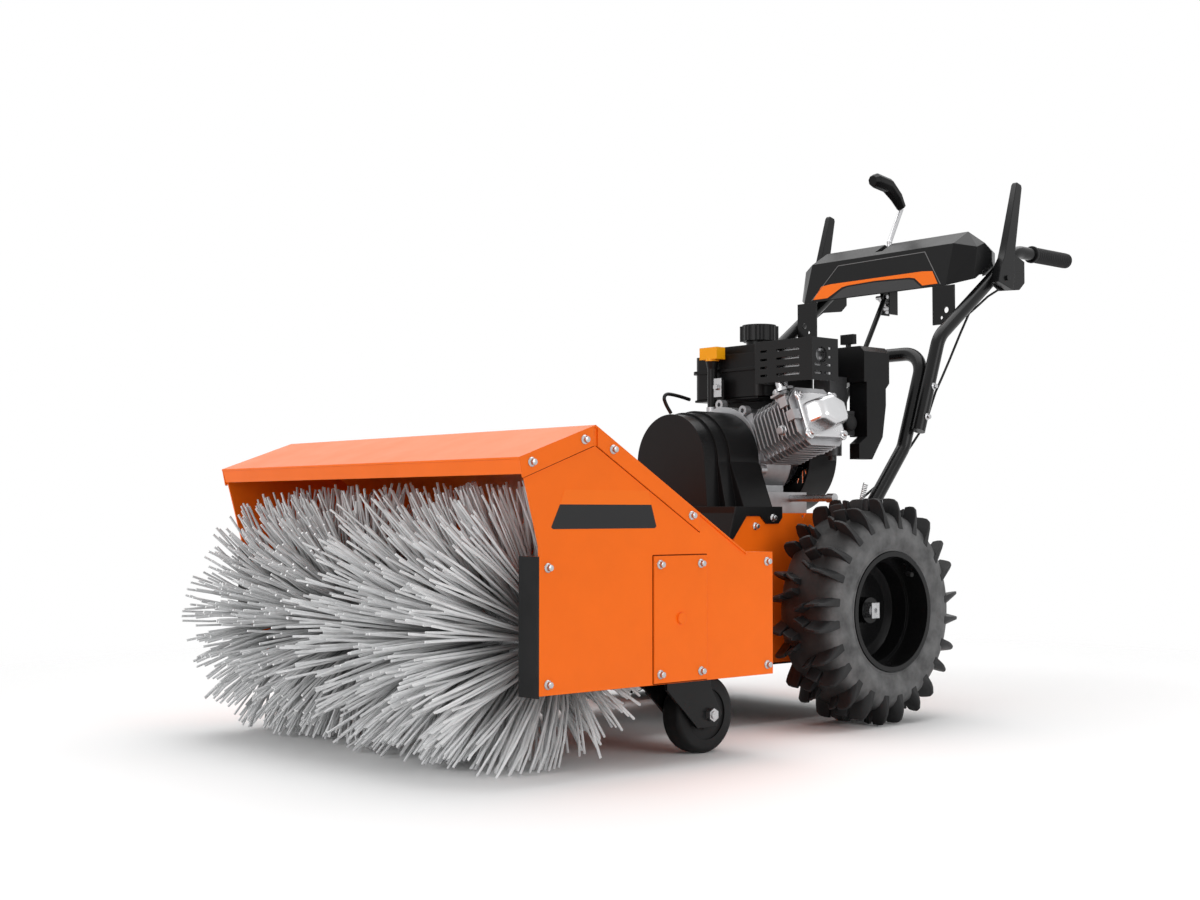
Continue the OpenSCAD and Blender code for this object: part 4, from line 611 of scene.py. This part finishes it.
class POWERBRUSH_OT_levers(bpy.types.Operator):
    """Press the two hand levers and mould the knob of the speed lever"""
    bl_idname = "powerbrush.levers"
    bl_label = "Levers"

    def execute(self, context):
        for side, hand in ((1, "left"), (-1, "right")):
            obj = piece(hand + "_lever_dressed", *hand_lever(side), FINISH["black paint"],
                        hand + "_hand_lever", "black_paint", 30, 0.0012)
            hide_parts(hand + "_lever")
        knob = tube(at_axle(KNOB_LINE), KNOB_R, 8)
        obj = piece("speed_knob_dressed", *knob, FINISH["black plastic"], "speed", "black_plastic", 20,
                    0.0015)
        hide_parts("speed_knob")
        return {"FINISHED"}


def hand_lever(side):
    """A lever with a broad foot about its pin and a long tapering arm, leaned back about the pin. Its rows
    are (height, half depth, inner side, outer side)."""
    rows = [(-16, 24, 0.5, 17.5), (18, 24, 0.5, 17.5), (36, 17, 0.8, 17.2), (70, 14.5, 1.2, 16.8),
            (190, 9.5, 2.5, 15.0), (196, 7.5, 3.5, 14.0)]
    rings = [[(a, -h, up), (b, -h, up), (b, h, up), (a, h, up)] for up, h, a, b in rows]
    x, y, z = np.array(rings, float).reshape(-1, 3).T
    c, s = math.cos(math.radians(LEVER_LEAN)), math.sin(math.radians(LEVER_LEAN))
    y, z = LEVER_PIVOT[0] + y * c + z * s, LEVER_PIVOT[1] - y * s + z * c
    points = np.stack([side * (LEVER_X + x), y, z], -1)
    faces = skin(len(rows), 4)
    return at_axle(points), faces if side > 0 else [f[::-1] for f in faces]


def islands(node):
    """Boxes (low, high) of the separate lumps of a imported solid: points that share a face get one label, and
    the lowest label spreads until nothing changes."""
    mesh = NODES[node].data
    co = np.zeros(len(mesh.vertices) * 3)
    mesh.vertices.foreach_get("co", co)
    co = co.reshape(-1, 3)
    _, same = np.unique(np.round(co, 5), axis=0, return_inverse=True)
    mesh.calc_loop_triangles()
    tri = np.zeros(len(mesh.loop_triangles) * 3, int)
    mesh.loop_triangles.foreach_get("vertices", tri)
    tri = same.reshape(-1)[tri].reshape(-1, 3)
    label = np.arange(same.max() + 1)
    while True:
        low = label[tri].min(1)
        new = label.copy()
        for k in range(3):
            np.minimum.at(new, tri[:, k], low)
        if (new == label).all():
            break
        label = new
    group = label[same.reshape(-1)]
    return [(co[group == g].min(0), co[group == g].max(0)) for g in np.unique(group)]


class POWERBRUSH_OT_bolts(bpy.types.Operator):
    """Set a hex flange bolt on each bolt place of the housing"""
    bl_idname = "powerbrush.bolts"
    bl_label = "Bolts"

    def execute(self, context):
        boxes = islands("flange_bolts")
        if not boxes:
            raise RuntimeError("the packed model has no bolts to dress")
        turns = np.random.default_rng(3).uniform(0, 1, len(boxes))
        flange_share = 0.36
        parts = []
        for (lo, hi), turn in zip(boxes, turns):
            side = 1.0 if lo[0] > 0 else -1.0
            foot = np.array([lo[0] if side > 0 else hi[0], (lo[1] + hi[1]) / 2, (lo[2] + hi[2]) / 2])
            parts.append(hex_bolt(foot, side, flange_share * (hi[1] - lo[1]), hi[0] - lo[0], turn))
        obj = piece("bolts_dressed", *join(parts), FINISH["steel"], "chassis", "bright_steel", 30)
        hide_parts("flange_bolts")
        return {"FINISHED"}


def hex_bolt(foot, side, flange, height, turn):
    """A hex head with a chamfered crown on a coned flange, standing along X from its foot. Each ring is
    (radius around, share of the height)."""
    n = 24
    w = np.arange(n) * 2 * math.pi / n
    across = flange * 0.62
    hexagon = across / np.cos((w % (math.pi / 3)) - math.pi / 6)
    rings = [(flange, 0.0), (flange, 0.10), (flange * 0.86, 0.24), (hexagon, 0.34), (hexagon, 0.84),
             (np.minimum(hexagon, across * 1.02), 0.97), (across * 0.9, 1.0)]
    w = w + turn
    points = [np.stack([np.full(n, side * a * height), r * np.cos(w), r * np.sin(w)], -1) for r, a in rings]
    faces = skin(len(rings), n)
    return np.concatenate(points) + foot, faces if side > 0 else [f[::-1] for f in faces]


class POWERBRUSH_OT_engine(bpy.types.Operator):
    """Cast the finned cylinder and the valve cover, and add the tank's tray and the dipstick's strap plate"""
    bl_idname = "powerbrush.engine"
    bl_label = "Engine"

    def execute(self, context):
        steel = FINISH["steel"]
        cylinder = fins(context.scene.power_brush_sizes.fins)
        obj = piece("cylinder_dressed", *cylinder, FINISH["cast"], "chassis", "cast_alloy", 30, 0.0006, 1)
        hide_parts("finned_cylinder")
        obj = piece("valve_cover_dressed", *valve_cover(), FINISH["bright alloy"], "chassis", "bright_alloy",
                    25, 0.003, 3)
        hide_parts("valve_cover")
        tray = [prism(rectangle(-100, 560.4, 60, 564.8), -40, 110, "y"),
                prism(rectangle(-100, 524, 60, 561), 24, 49, "y")]
        piece("tank_tray", *on_frame(tray), FINISH["black plastic"], "chassis", "black_plastic", 30, 0.001, 1)
        head = [(0.01, -67.5), (5.5, -67.5), (5.5, -62), (0.01, -62)]
        strap = [prism(rectangle(-33, 566, -9, 600), -62.5, -60.2, "y"), revolve(head, (-20, 0, 584), "y", 6)]
        piece("strap_plate", *on_frame(strap), steel, "chassis", "bright_steel", 30, 0.0005, 1)
        bolts = [hex_bolt(np.array([EARS_U, v, w]), 1, 7.0, 6.5, v + w)
                 for v in (-EAR_V, EAR_V) for w in (-EAR_W, EAR_W)]
        piece("valve_cover_bolts", *on_cylinder(bolts), steel, "chassis", "bright_steel", 30)
        return {"FINISHED"}


# The cylinder's own frame in millimetres, (along it, across, up) from the crank: its place and lean on the
# engine, the barrel's two ends, and the bolt places of the valve cover
CRANK_Z, CYLINDER_Y, CYLINDER_LEAN = 460.0, -10.0, 20.0
BARREL_U = (87.0, 190.0)
EARS_U, EAR_V, EAR_W = 196.0, 43.0, 36.0


def on_cylinder(parts):
    """Several shapes in the cylinder's own frame, as one shape in the shared frame."""
    points, faces = join(parts)
    c, s = math.cos(math.radians(CYLINDER_LEAN)), math.sin(math.radians(CYLINDER_LEAN))
    u, v, w = points.T
    return at_axle(np.stack([u * c - w * s, v + CYLINDER_Y, CRANK_Z + u * s + w * c], -1)), faces


def eight_sided(y, z, cut):
    """Corners of a rectangle of two half sizes with cut-off corners."""
    half = [(-y, -z + cut), (-y + cut, -z), (y - cut, -z), (y, -z + cut)]
    return half + [(-a, -b) for a, b in half]


def fins(count):
    """The barrel, its fins square to its axis, the exhaust port with its flange, stub and studs, two lugs
    and a plug."""
    first, last, half_t = BARREL_U[0] + 4, BARREL_U[1] - 6, 1.3
    port_u, port_v = 157.5, -36
    parts = [prism(rectangle(-44, -42, 44, 42), *BARREL_U, "x")]
    for k in range(count):
        u = first + k * (last - first) / (count - 1)
        grow = 2 if k > count / 2 else 0
        parts.append(prism(eight_sided(60 + grow, 52 + grow, 24), u - half_t, u + half_t, "x"))
    parts.append(prism(rectangle(port_v - 14, 30, port_v + 14, 48), port_u - 12.5, port_u + 12.5, "x"))
    parts.append(prism(rectangle(port_v - 27, 47, port_v + 27, 51), port_u - 10.5, port_u + 10.5, "x"))
    stub = [(0.01, 45), (10.5, 45), (10.5, 57), (0.01, 57)]
    parts.append(revolve(stub, (port_u, port_v, 0), "z", 32))
    stud = [(0.01, 50), (4.6, 50), (4.6, 55), (2.8, 55), (2.8, 60), (0.01, 60)]
    parts += [revolve(stud, (port_u, port_v + d, 0), "z", 12) for d in (-21, 21)]
    parts += [prism(rectangle(u - 8, w - 9, u + 9, w + 9), -66, -40, "y") for u, w in ((172, 30), (181, 2))]
    plug = [(0.01, -68), (6, -68), (7.5, -66), (7.5, -61), (10, -60), (10, -40), (0.01, -40)]
    parts.append(revolve(plug, (150, 0, -14), "y", 24))
    return on_cylinder(parts)


def rounded(corners, radius, steps=6):
    """A convex outline, given counter-clockwise, with each corner swept by an arc of the radius."""
    p = np.asarray(corners, float)
    edge = np.roll(p, -1, 0) - p
    turn = np.unwrap(np.arctan2(edge[:, 1], edge[:, 0])) - math.pi / 2
    out = []
    for k in range(len(p)):
        last = turn[k - 1] - (2 * math.pi if k == 0 else 0)
        w = np.linspace(last, turn[k], steps)
        out.append(p[k] + radius * np.stack([np.cos(w), np.sin(w)], -1))
    return np.concatenate(out)


def valve_cover():
    """A flange with four round ears and waisted sides, under a six-sided dome with steep walls and a flat
    crown. The dome's rows are (place along, half across, half up, corner radius), and it shifts across as it
    rises."""
    ear_r, dome_shift = 10, 0.12
    outline = []
    for sy, sz in rectangle(-1, -1, 1, 1):
        w = math.atan2(sz, sy) + np.radians(np.linspace(-100, 100, 13))
        outline += list(zip(EAR_V * sy + ear_r * np.cos(w), EAR_W * sz + ear_r * np.sin(w)))
    rows = [(195, 30, 24, 8), (213, 28, 22.5, 8), (221, 25.5, 20.5, 8), (226, 22, 17.5, 7),
            (228, 17, 13.5, 6)]
    rings = []
    for u, h, v, corner in rows:
        six = [(-h, -v * 0.5), (-h * 0.2, -v), (h, -v * 0.6), (h, v * 0.5), (h * 0.2, v), (-h, v * 0.6)]
        across, up = rounded(six, corner).T
        rings.append(np.stack([np.full(len(up), u), across + (u - rows[0][0]) * dome_shift, up], -1))
    dome = np.concatenate(rings), skin(len(rings), len(rings[0]))
    return on_cylinder([prism(outline, BARREL_U[1], EARS_U, "x"), dome])


class POWERBRUSH_OT_marks(bpy.types.Operator):
    """Lay the plain coloured films on the side panels and the console, and painted shadow strips beside the
    side panels' proud edges
    """
    bl_idname = "powerbrush.marks"
    bl_label = "Marks"

    def execute(self, context):
        low = [(-794, 334.5), (-797, 337), (-782, 367), (-617.5, 367), (-608, 337), (-611, 334.5)]
        high = [(-782, 367), (-774, 386.5), (-623, 386.5), (-617.5, 367)]
        for name, outline, look, slot in (("panel_film_black", low, "film black", "black_plastic"),
                                          ("panel_film_orange", high, "film orange", "orange_paint")):
            films = [on_panel(outline, 0.25, side) for side in (1, -1)]
            piece(name, *on_frame(films), FINISH[look], "chassis", slot)
        # Painted shadow: dark strips on the panel beside the proud cover's edges and along the lower edges of
        # the hood's flanges
        cover = rectangle(-614.8, 119.2, -509.7, 296.8)
        front = [(-845.5, 400.4), (-722, 445.6)]
        rear = [(-720, 445.8), (-523.6, 328.0), (-523.6, 355.4)]
        lines = ((cover + cover[:1], 1.6), (front, 0.8), (rear, 0.8))
        seam_shadows = [seam(points, width, side) for points, width in lines for side in (1, -1)]
        piece("panel_seam_shadows", *on_frame(seam_shadows), FINISH["film seam"], "chassis", "orange_paint")
        band = [(-155, 6), (-140, 34), (-116, 36.5), (116, 36.5), (140, 34), (158, 6), (122, 6), (100, 24),
                (86, 27), (0, 30.5), (-70, 28.5), (-84, 26), (-117, 6)]
        arch = [(-109, 2), (-80, 22), (-68, 25), (0, 27), (84, 23.5), (98, 20.5), (121, 2)]
        line = [(-160, 4), (-106, 77), (113, 79), (166, 4), (164.2, 4), (112.2, 77.5), (-105.2, 75.5),
                (-158.2, 4)]
        for name, outline, look, slot in (("console_band", band, "film orange", "orange_paint"),
                                          ("console_arch", arch, "film grey", "black_plastic"),
                                          ("console_line", line, "film line", "black_plastic")):
            piece(name, *on_console(outline), FINISH[look], "chassis", slot)
        return {"FINISHED"}


def on_panel(outline, thick, side):
    """A flat film of (y, z) corners on the outer face of a side panel."""
    return prism(outline, *sorted((side * PANEL_X, side * (PANEL_X + thick))), "x")


def seam(points, width, side):
    """A painted shadow beside a sheet's edge: a flat dark strip along a line of (y, z) places on a side panel.
    """
    parts = []
    for a, b in zip(np.asarray(points[:-1], float), np.asarray(points[1:], float)):
        d = unit(b - a)
        n = np.array([-d[1], d[0]]) * width / 2
        parts.append(on_panel([a - n, b - n, b + n, a + n], 0.2, side))
    return join(parts)


def on_console(outline, proud=0.3, sunk=0.5):
    """A flat film on the console's front face. Its places are (across, up the slope) from the lower edge."""
    q = np.asarray(outline, float)
    foot, up = np.array([358.0, 789.0]), unit(np.array([26.0, 84.0]))
    out = np.array([-up[1], up[0]])
    flat = foot + q[:, 1:] * up
    points = [np.column_stack([q[:, 0], flat + out * d]) for d in (-sunk, proud)]
    faces = skin(2, len(q))
    turned = np.roll(q, -1, 0)
    if np.sum(q[:, 0] * turned[:, 1] - turned[:, 0] * q[:, 1]) < 0:
        faces = [f[::-1] for f in faces]
    return at_axle(np.concatenate(points)), faces


class POWERBRUSH_OT_details(bpy.types.Operator):
    """Add the small hardware: the belt cover's wire loop, the return spring and the tyres' valve stems"""
    bl_idname = "powerbrush.details"
    bl_label = "Details"

    def execute(self, context):
        loop = [(0, -152, 556), (0, -180, 561), (0, -206, 563), (0, -214, 556), (0, -209, 544),
                (0, -198, 530)]
        wire = tube(at_axle(smooth_path(loop)), 0.0032, 14)
        piece("wire_loop", *wire, FINISH["black paint"], "chassis", "black_paint")
        spring = coil((168.0, 128.0, 408.0), (168.0, 112.0, 366.0), 13, 4.2)
        piece("return_spring", *tube(at_axle(spring), 0.0008, 6), FINISH["steel"], "chassis", "bright_steel")
        stems = [[(side * 318, 52, WHEEL_Z + 62), (side * 330, 50, WHEEL_Z + 60)] for side in (1, -1)]
        stems = join([tube(at_axle(line), 0.0038, 14) for line in stems])
        piece("valve_stems", *stems, FINISH["rubber"], "wheels", "black_rubber")
        return {"FINISHED"}


def coil(start, end, turns, radius, steps=14):
    """The middle line of a coil spring: a circle carried evenly from start to end."""
    a, b = np.asarray(start, float), np.asarray(end, float)
    w = np.linspace(0, 2 * math.pi * turns, turns * steps)
    s = unit(np.cross(unit(b - a), [1.0, 0, 0]))
    u = np.cross(unit(b - a), s)
    along = np.linspace(0, 1, len(w))
    return a + np.outer(along, b - a) + radius * (np.outer(np.cos(w), s) + np.outer(np.sin(w), u))


class POWERBRUSH_OT_starter(bpy.types.Operator):
    """Shape the starter's pull handle and the rope that it draws out of the housing"""
    bl_idname = "powerbrush.starter"
    bl_label = "Starter"

    def execute(self, context):
        obj = piece("pull_handle", *pull_handle(), FINISH["black plastic"], "pull", "black_plastic", 40)
        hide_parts("recoil_handle")
        path = PULL_AT + np.outer(np.linspace(-6, 6, 13), [0, 1, 0])
        rope = tube(at_axle(path), 0.002, 10)
        obj = piece("pull_rope", *rope, FINISH["rubber"], None, "black_rubber")
        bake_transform(obj)
        return {"FINISHED"}


PULL_AT = np.array([-46.0, 150.0, 506.0])


def pull_handle():
    """A bar along X whose section swells from its ends to its middle, on a short coned neck."""
    rows, cols = 17, 32
    w = np.linspace(0, 2 * math.pi, cols + 1)[:-1]
    along = np.linspace(-1, 1, rows)
    half = 6.0 + 5.0 * np.sqrt(np.clip(1 - np.abs(along) ** 2.6, 0, 1))
    half[[0, -1]] = 5.0
    along, half = along[:, None], half[:, None]
    x, y, z = 23 * along, 14.3 + (half - 0.2) * np.cos(w), 0.9 * half * np.sin(w)
    handle = np.stack(np.broadcast_arrays(x, y, z), -1)
    neck = revolve([(0.01, 0.4), (6.4, 0.4), (5.4, 5), (0.01, 5)], (0, 0, 0), "y", cols)
    points, faces = join([(handle.reshape(-1, 3), skin(rows, cols)), neck])
    return at_axle(points + PULL_AT), faces


class POWERBRUSH_OT_stage(bpy.types.Operator):
    """Set the floor, the lamps and the camera"""
    bl_idname = "powerbrush.stage"
    bl_label = "Stage"

    def execute(self, context):
        scene = context.scene
        scene.view_settings.view_transform = "Standard"
        pale_floor()
        world_light(scene)
        soft_lamp("overhead", (-0.5, 0.5, 3.6), (0, -0.2, 0), 4.2, 4.2, 120)
        soft_lamp("side", (3.8, 0.2, 1.5), (0, -0.2, 0.5), 2.4, 2.0, 38)
        soft_lamp("front", (0.3, -4.2, 1.4), (0, -0.3, 0.5), 2.4, 1.8, 57)
        camera(scene)
        return {"FINISHED"}


def pale_floor():
    """A pale floor that fades out towards the white surround."""
    half, fade_from, fade_to = 9.0, 1.1, 2.1
    mesh = bpy.data.meshes.new("floor")
    mesh.from_pydata([(x, y, 0) for x, y in rectangle(-half, -half, half, half)], [], [(0, 1, 2, 3)])
    obj = bpy.data.objects.new("floor", mesh)
    bpy.context.scene.collection.objects.link(obj)
    mat = bpy.data.materials.new("pale floor")
    mat.use_nodes = True
    tree = mat.node_tree
    tree.nodes.clear()
    out = add(tree, "OutputMaterial")
    matte = add(tree, "BsdfDiffuse", {"Color": (0.93, 0.93, 0.93, 1)})
    clear = add(tree, "BsdfTransparent")
    mix = add(tree, "MixShader")
    coords = add(tree, "TexCoord")
    length = add(tree, "VectorMath", operation="LENGTH")
    fade = add(tree, "MapRange", {"From Min": fade_from, "From Max": fade_to},
               interpolation_type="SMOOTHSTEP")
    tree.links.new(coords.outputs["Object"], length.inputs[0])
    tree.links.new(length.outputs["Value"], fade.inputs["Value"])
    tree.links.new(fade.outputs["Result"], mix.inputs["Fac"])
    tree.links.new(matte.outputs["BSDF"], mix.inputs[1])
    tree.links.new(clear.outputs["BSDF"], mix.inputs[2])
    tree.links.new(mix.outputs["Shader"], out.inputs["Surface"])
    mesh.materials.append(mat)


def world_light(scene):
    """White where the camera, a mirror or glass looks, and a soft grey light elsewhere."""
    world = bpy.data.worlds.new("surround")
    scene.world = world
    world.use_nodes = True
    tree = world.node_tree
    tree.nodes.clear()
    out = add(tree, "OutputWorld")
    light = add(tree, "Background", {"Strength": 0.42, "Color": (1, 1, 1, 1)})
    white = add(tree, "Background", {"Strength": 1.0, "Color": (1, 1, 1, 1)})
    path = add(tree, "LightPath")
    either = add(tree, "Math", operation="MAXIMUM")
    third = add(tree, "Math", operation="MAXIMUM")
    mix = add(tree, "MixShader")
    tree.links.new(path.outputs["Is Camera Ray"], either.inputs[0])
    tree.links.new(path.outputs["Is Glossy Ray"], either.inputs[1])
    tree.links.new(either.outputs[0], third.inputs[0])
    tree.links.new(path.outputs["Is Transmission Ray"], third.inputs[1])
    tree.links.new(third.outputs[0], mix.inputs["Fac"])
    tree.links.new(light.outputs[0], mix.inputs[1])
    tree.links.new(white.outputs[0], mix.inputs[2])
    tree.links.new(mix.outputs[0], out.inputs["Surface"])


def turned_to(right, up, back, place):
    """The matrix of a lamp or a camera from its three directions and its place."""
    return Matrix([[right[i], up[i], back[i], place[i]] for i in range(3)] + [[0, 0, 0, 1]])


def soft_lamp(name, place, aim, width, height, power):
    """A rectangular soft lamp that faces a point."""
    data = bpy.data.lights.new(name, "AREA")
    data.shape = "RECTANGLE"
    data.size, data.size_y, data.energy = width, height, power
    obj = bpy.data.objects.new(name, data)
    bpy.context.scene.collection.objects.link(obj)
    back = unit(np.asarray(place, float) - np.asarray(aim, float))
    right = unit(np.cross([0.0, 0.0, 1.0], back))
    obj.matrix_world = turned_to(right, np.cross(back, right), back, place)


def camera(scene):
    """The camera at the photograph's place, 48.7 degrees round from the front and a little below level."""
    yaw, pitch = 0.850207, -0.0391647
    eye = (1.987456, -2.008555, 0.357439)
    film_mm, focal_px, frame_px = 36.0, 1573.128, 1200.0
    forward = np.array([-math.sin(yaw) * math.cos(pitch), math.cos(yaw) * math.cos(pitch), -math.sin(pitch)])
    right = np.array([math.cos(yaw), math.sin(yaw), 0.0])
    data = bpy.data.cameras.new("camera")
    data.sensor_width = film_mm
    data.lens = film_mm * focal_px / frame_px
    data.clip_end = 100.0
    obj = bpy.data.objects.new("camera", data)
    scene.collection.objects.link(obj)
    obj.matrix_world = turned_to(right, np.cross(right, forward), -forward, eye)
    scene.camera = obj


STEPS = [POWERBRUSH_OT_stage, POWERBRUSH_OT_finishes, POWERBRUSH_OT_strands, POWERBRUSH_OT_tyres,
         POWERBRUSH_OT_handles, POWERBRUSH_OT_levers, POWERBRUSH_OT_bolts, POWERBRUSH_OT_engine,
         POWERBRUSH_OT_marks, POWERBRUSH_OT_details, POWERBRUSH_OT_starter]


class POWERBRUSH_PT_panel(bpy.types.Panel):
    """Lists the pieces of the machine that can be made"""
    bl_label = "Power Brush"
    bl_idname = "POWERBRUSH_PT_panel"
    bl_space_type = "VIEW_3D"
    bl_region_type = "UI"
    bl_category = "Power Brush"

    def draw(self, context):
        for group in (context.scene.power_brush_finish, context.scene.power_brush_sizes):
            for name in group.__annotations__:
                self.layout.prop(group, name)
        for step in STEPS:
            self.layout.operator(step.bl_idname)


CLASSES = [PowerBrushFinish, PowerBrushSizes, *STEPS, POWERBRUSH_PT_panel]


def register():
    """Add the operators, the panel and the two groups of settings."""
    for c in CLASSES:
        bpy.utils.register_class(c)
    bpy.types.Scene.power_brush_finish = PointerProperty(type=PowerBrushFinish)
    bpy.types.Scene.power_brush_sizes = PointerProperty(type=PowerBrushSizes)


def unregister():
    """Take them out again."""
    del bpy.types.Scene.power_brush_finish
    del bpy.types.Scene.power_brush_sizes
    for c in reversed(CLASSES):
        bpy.utils.unregister_class(c)


def main():
    register()
    for step in STEPS:
        group, name = step.bl_idname.split(".")
        getattr(getattr(bpy.ops, group), name)()


if __name__ == "__main__":
    main()
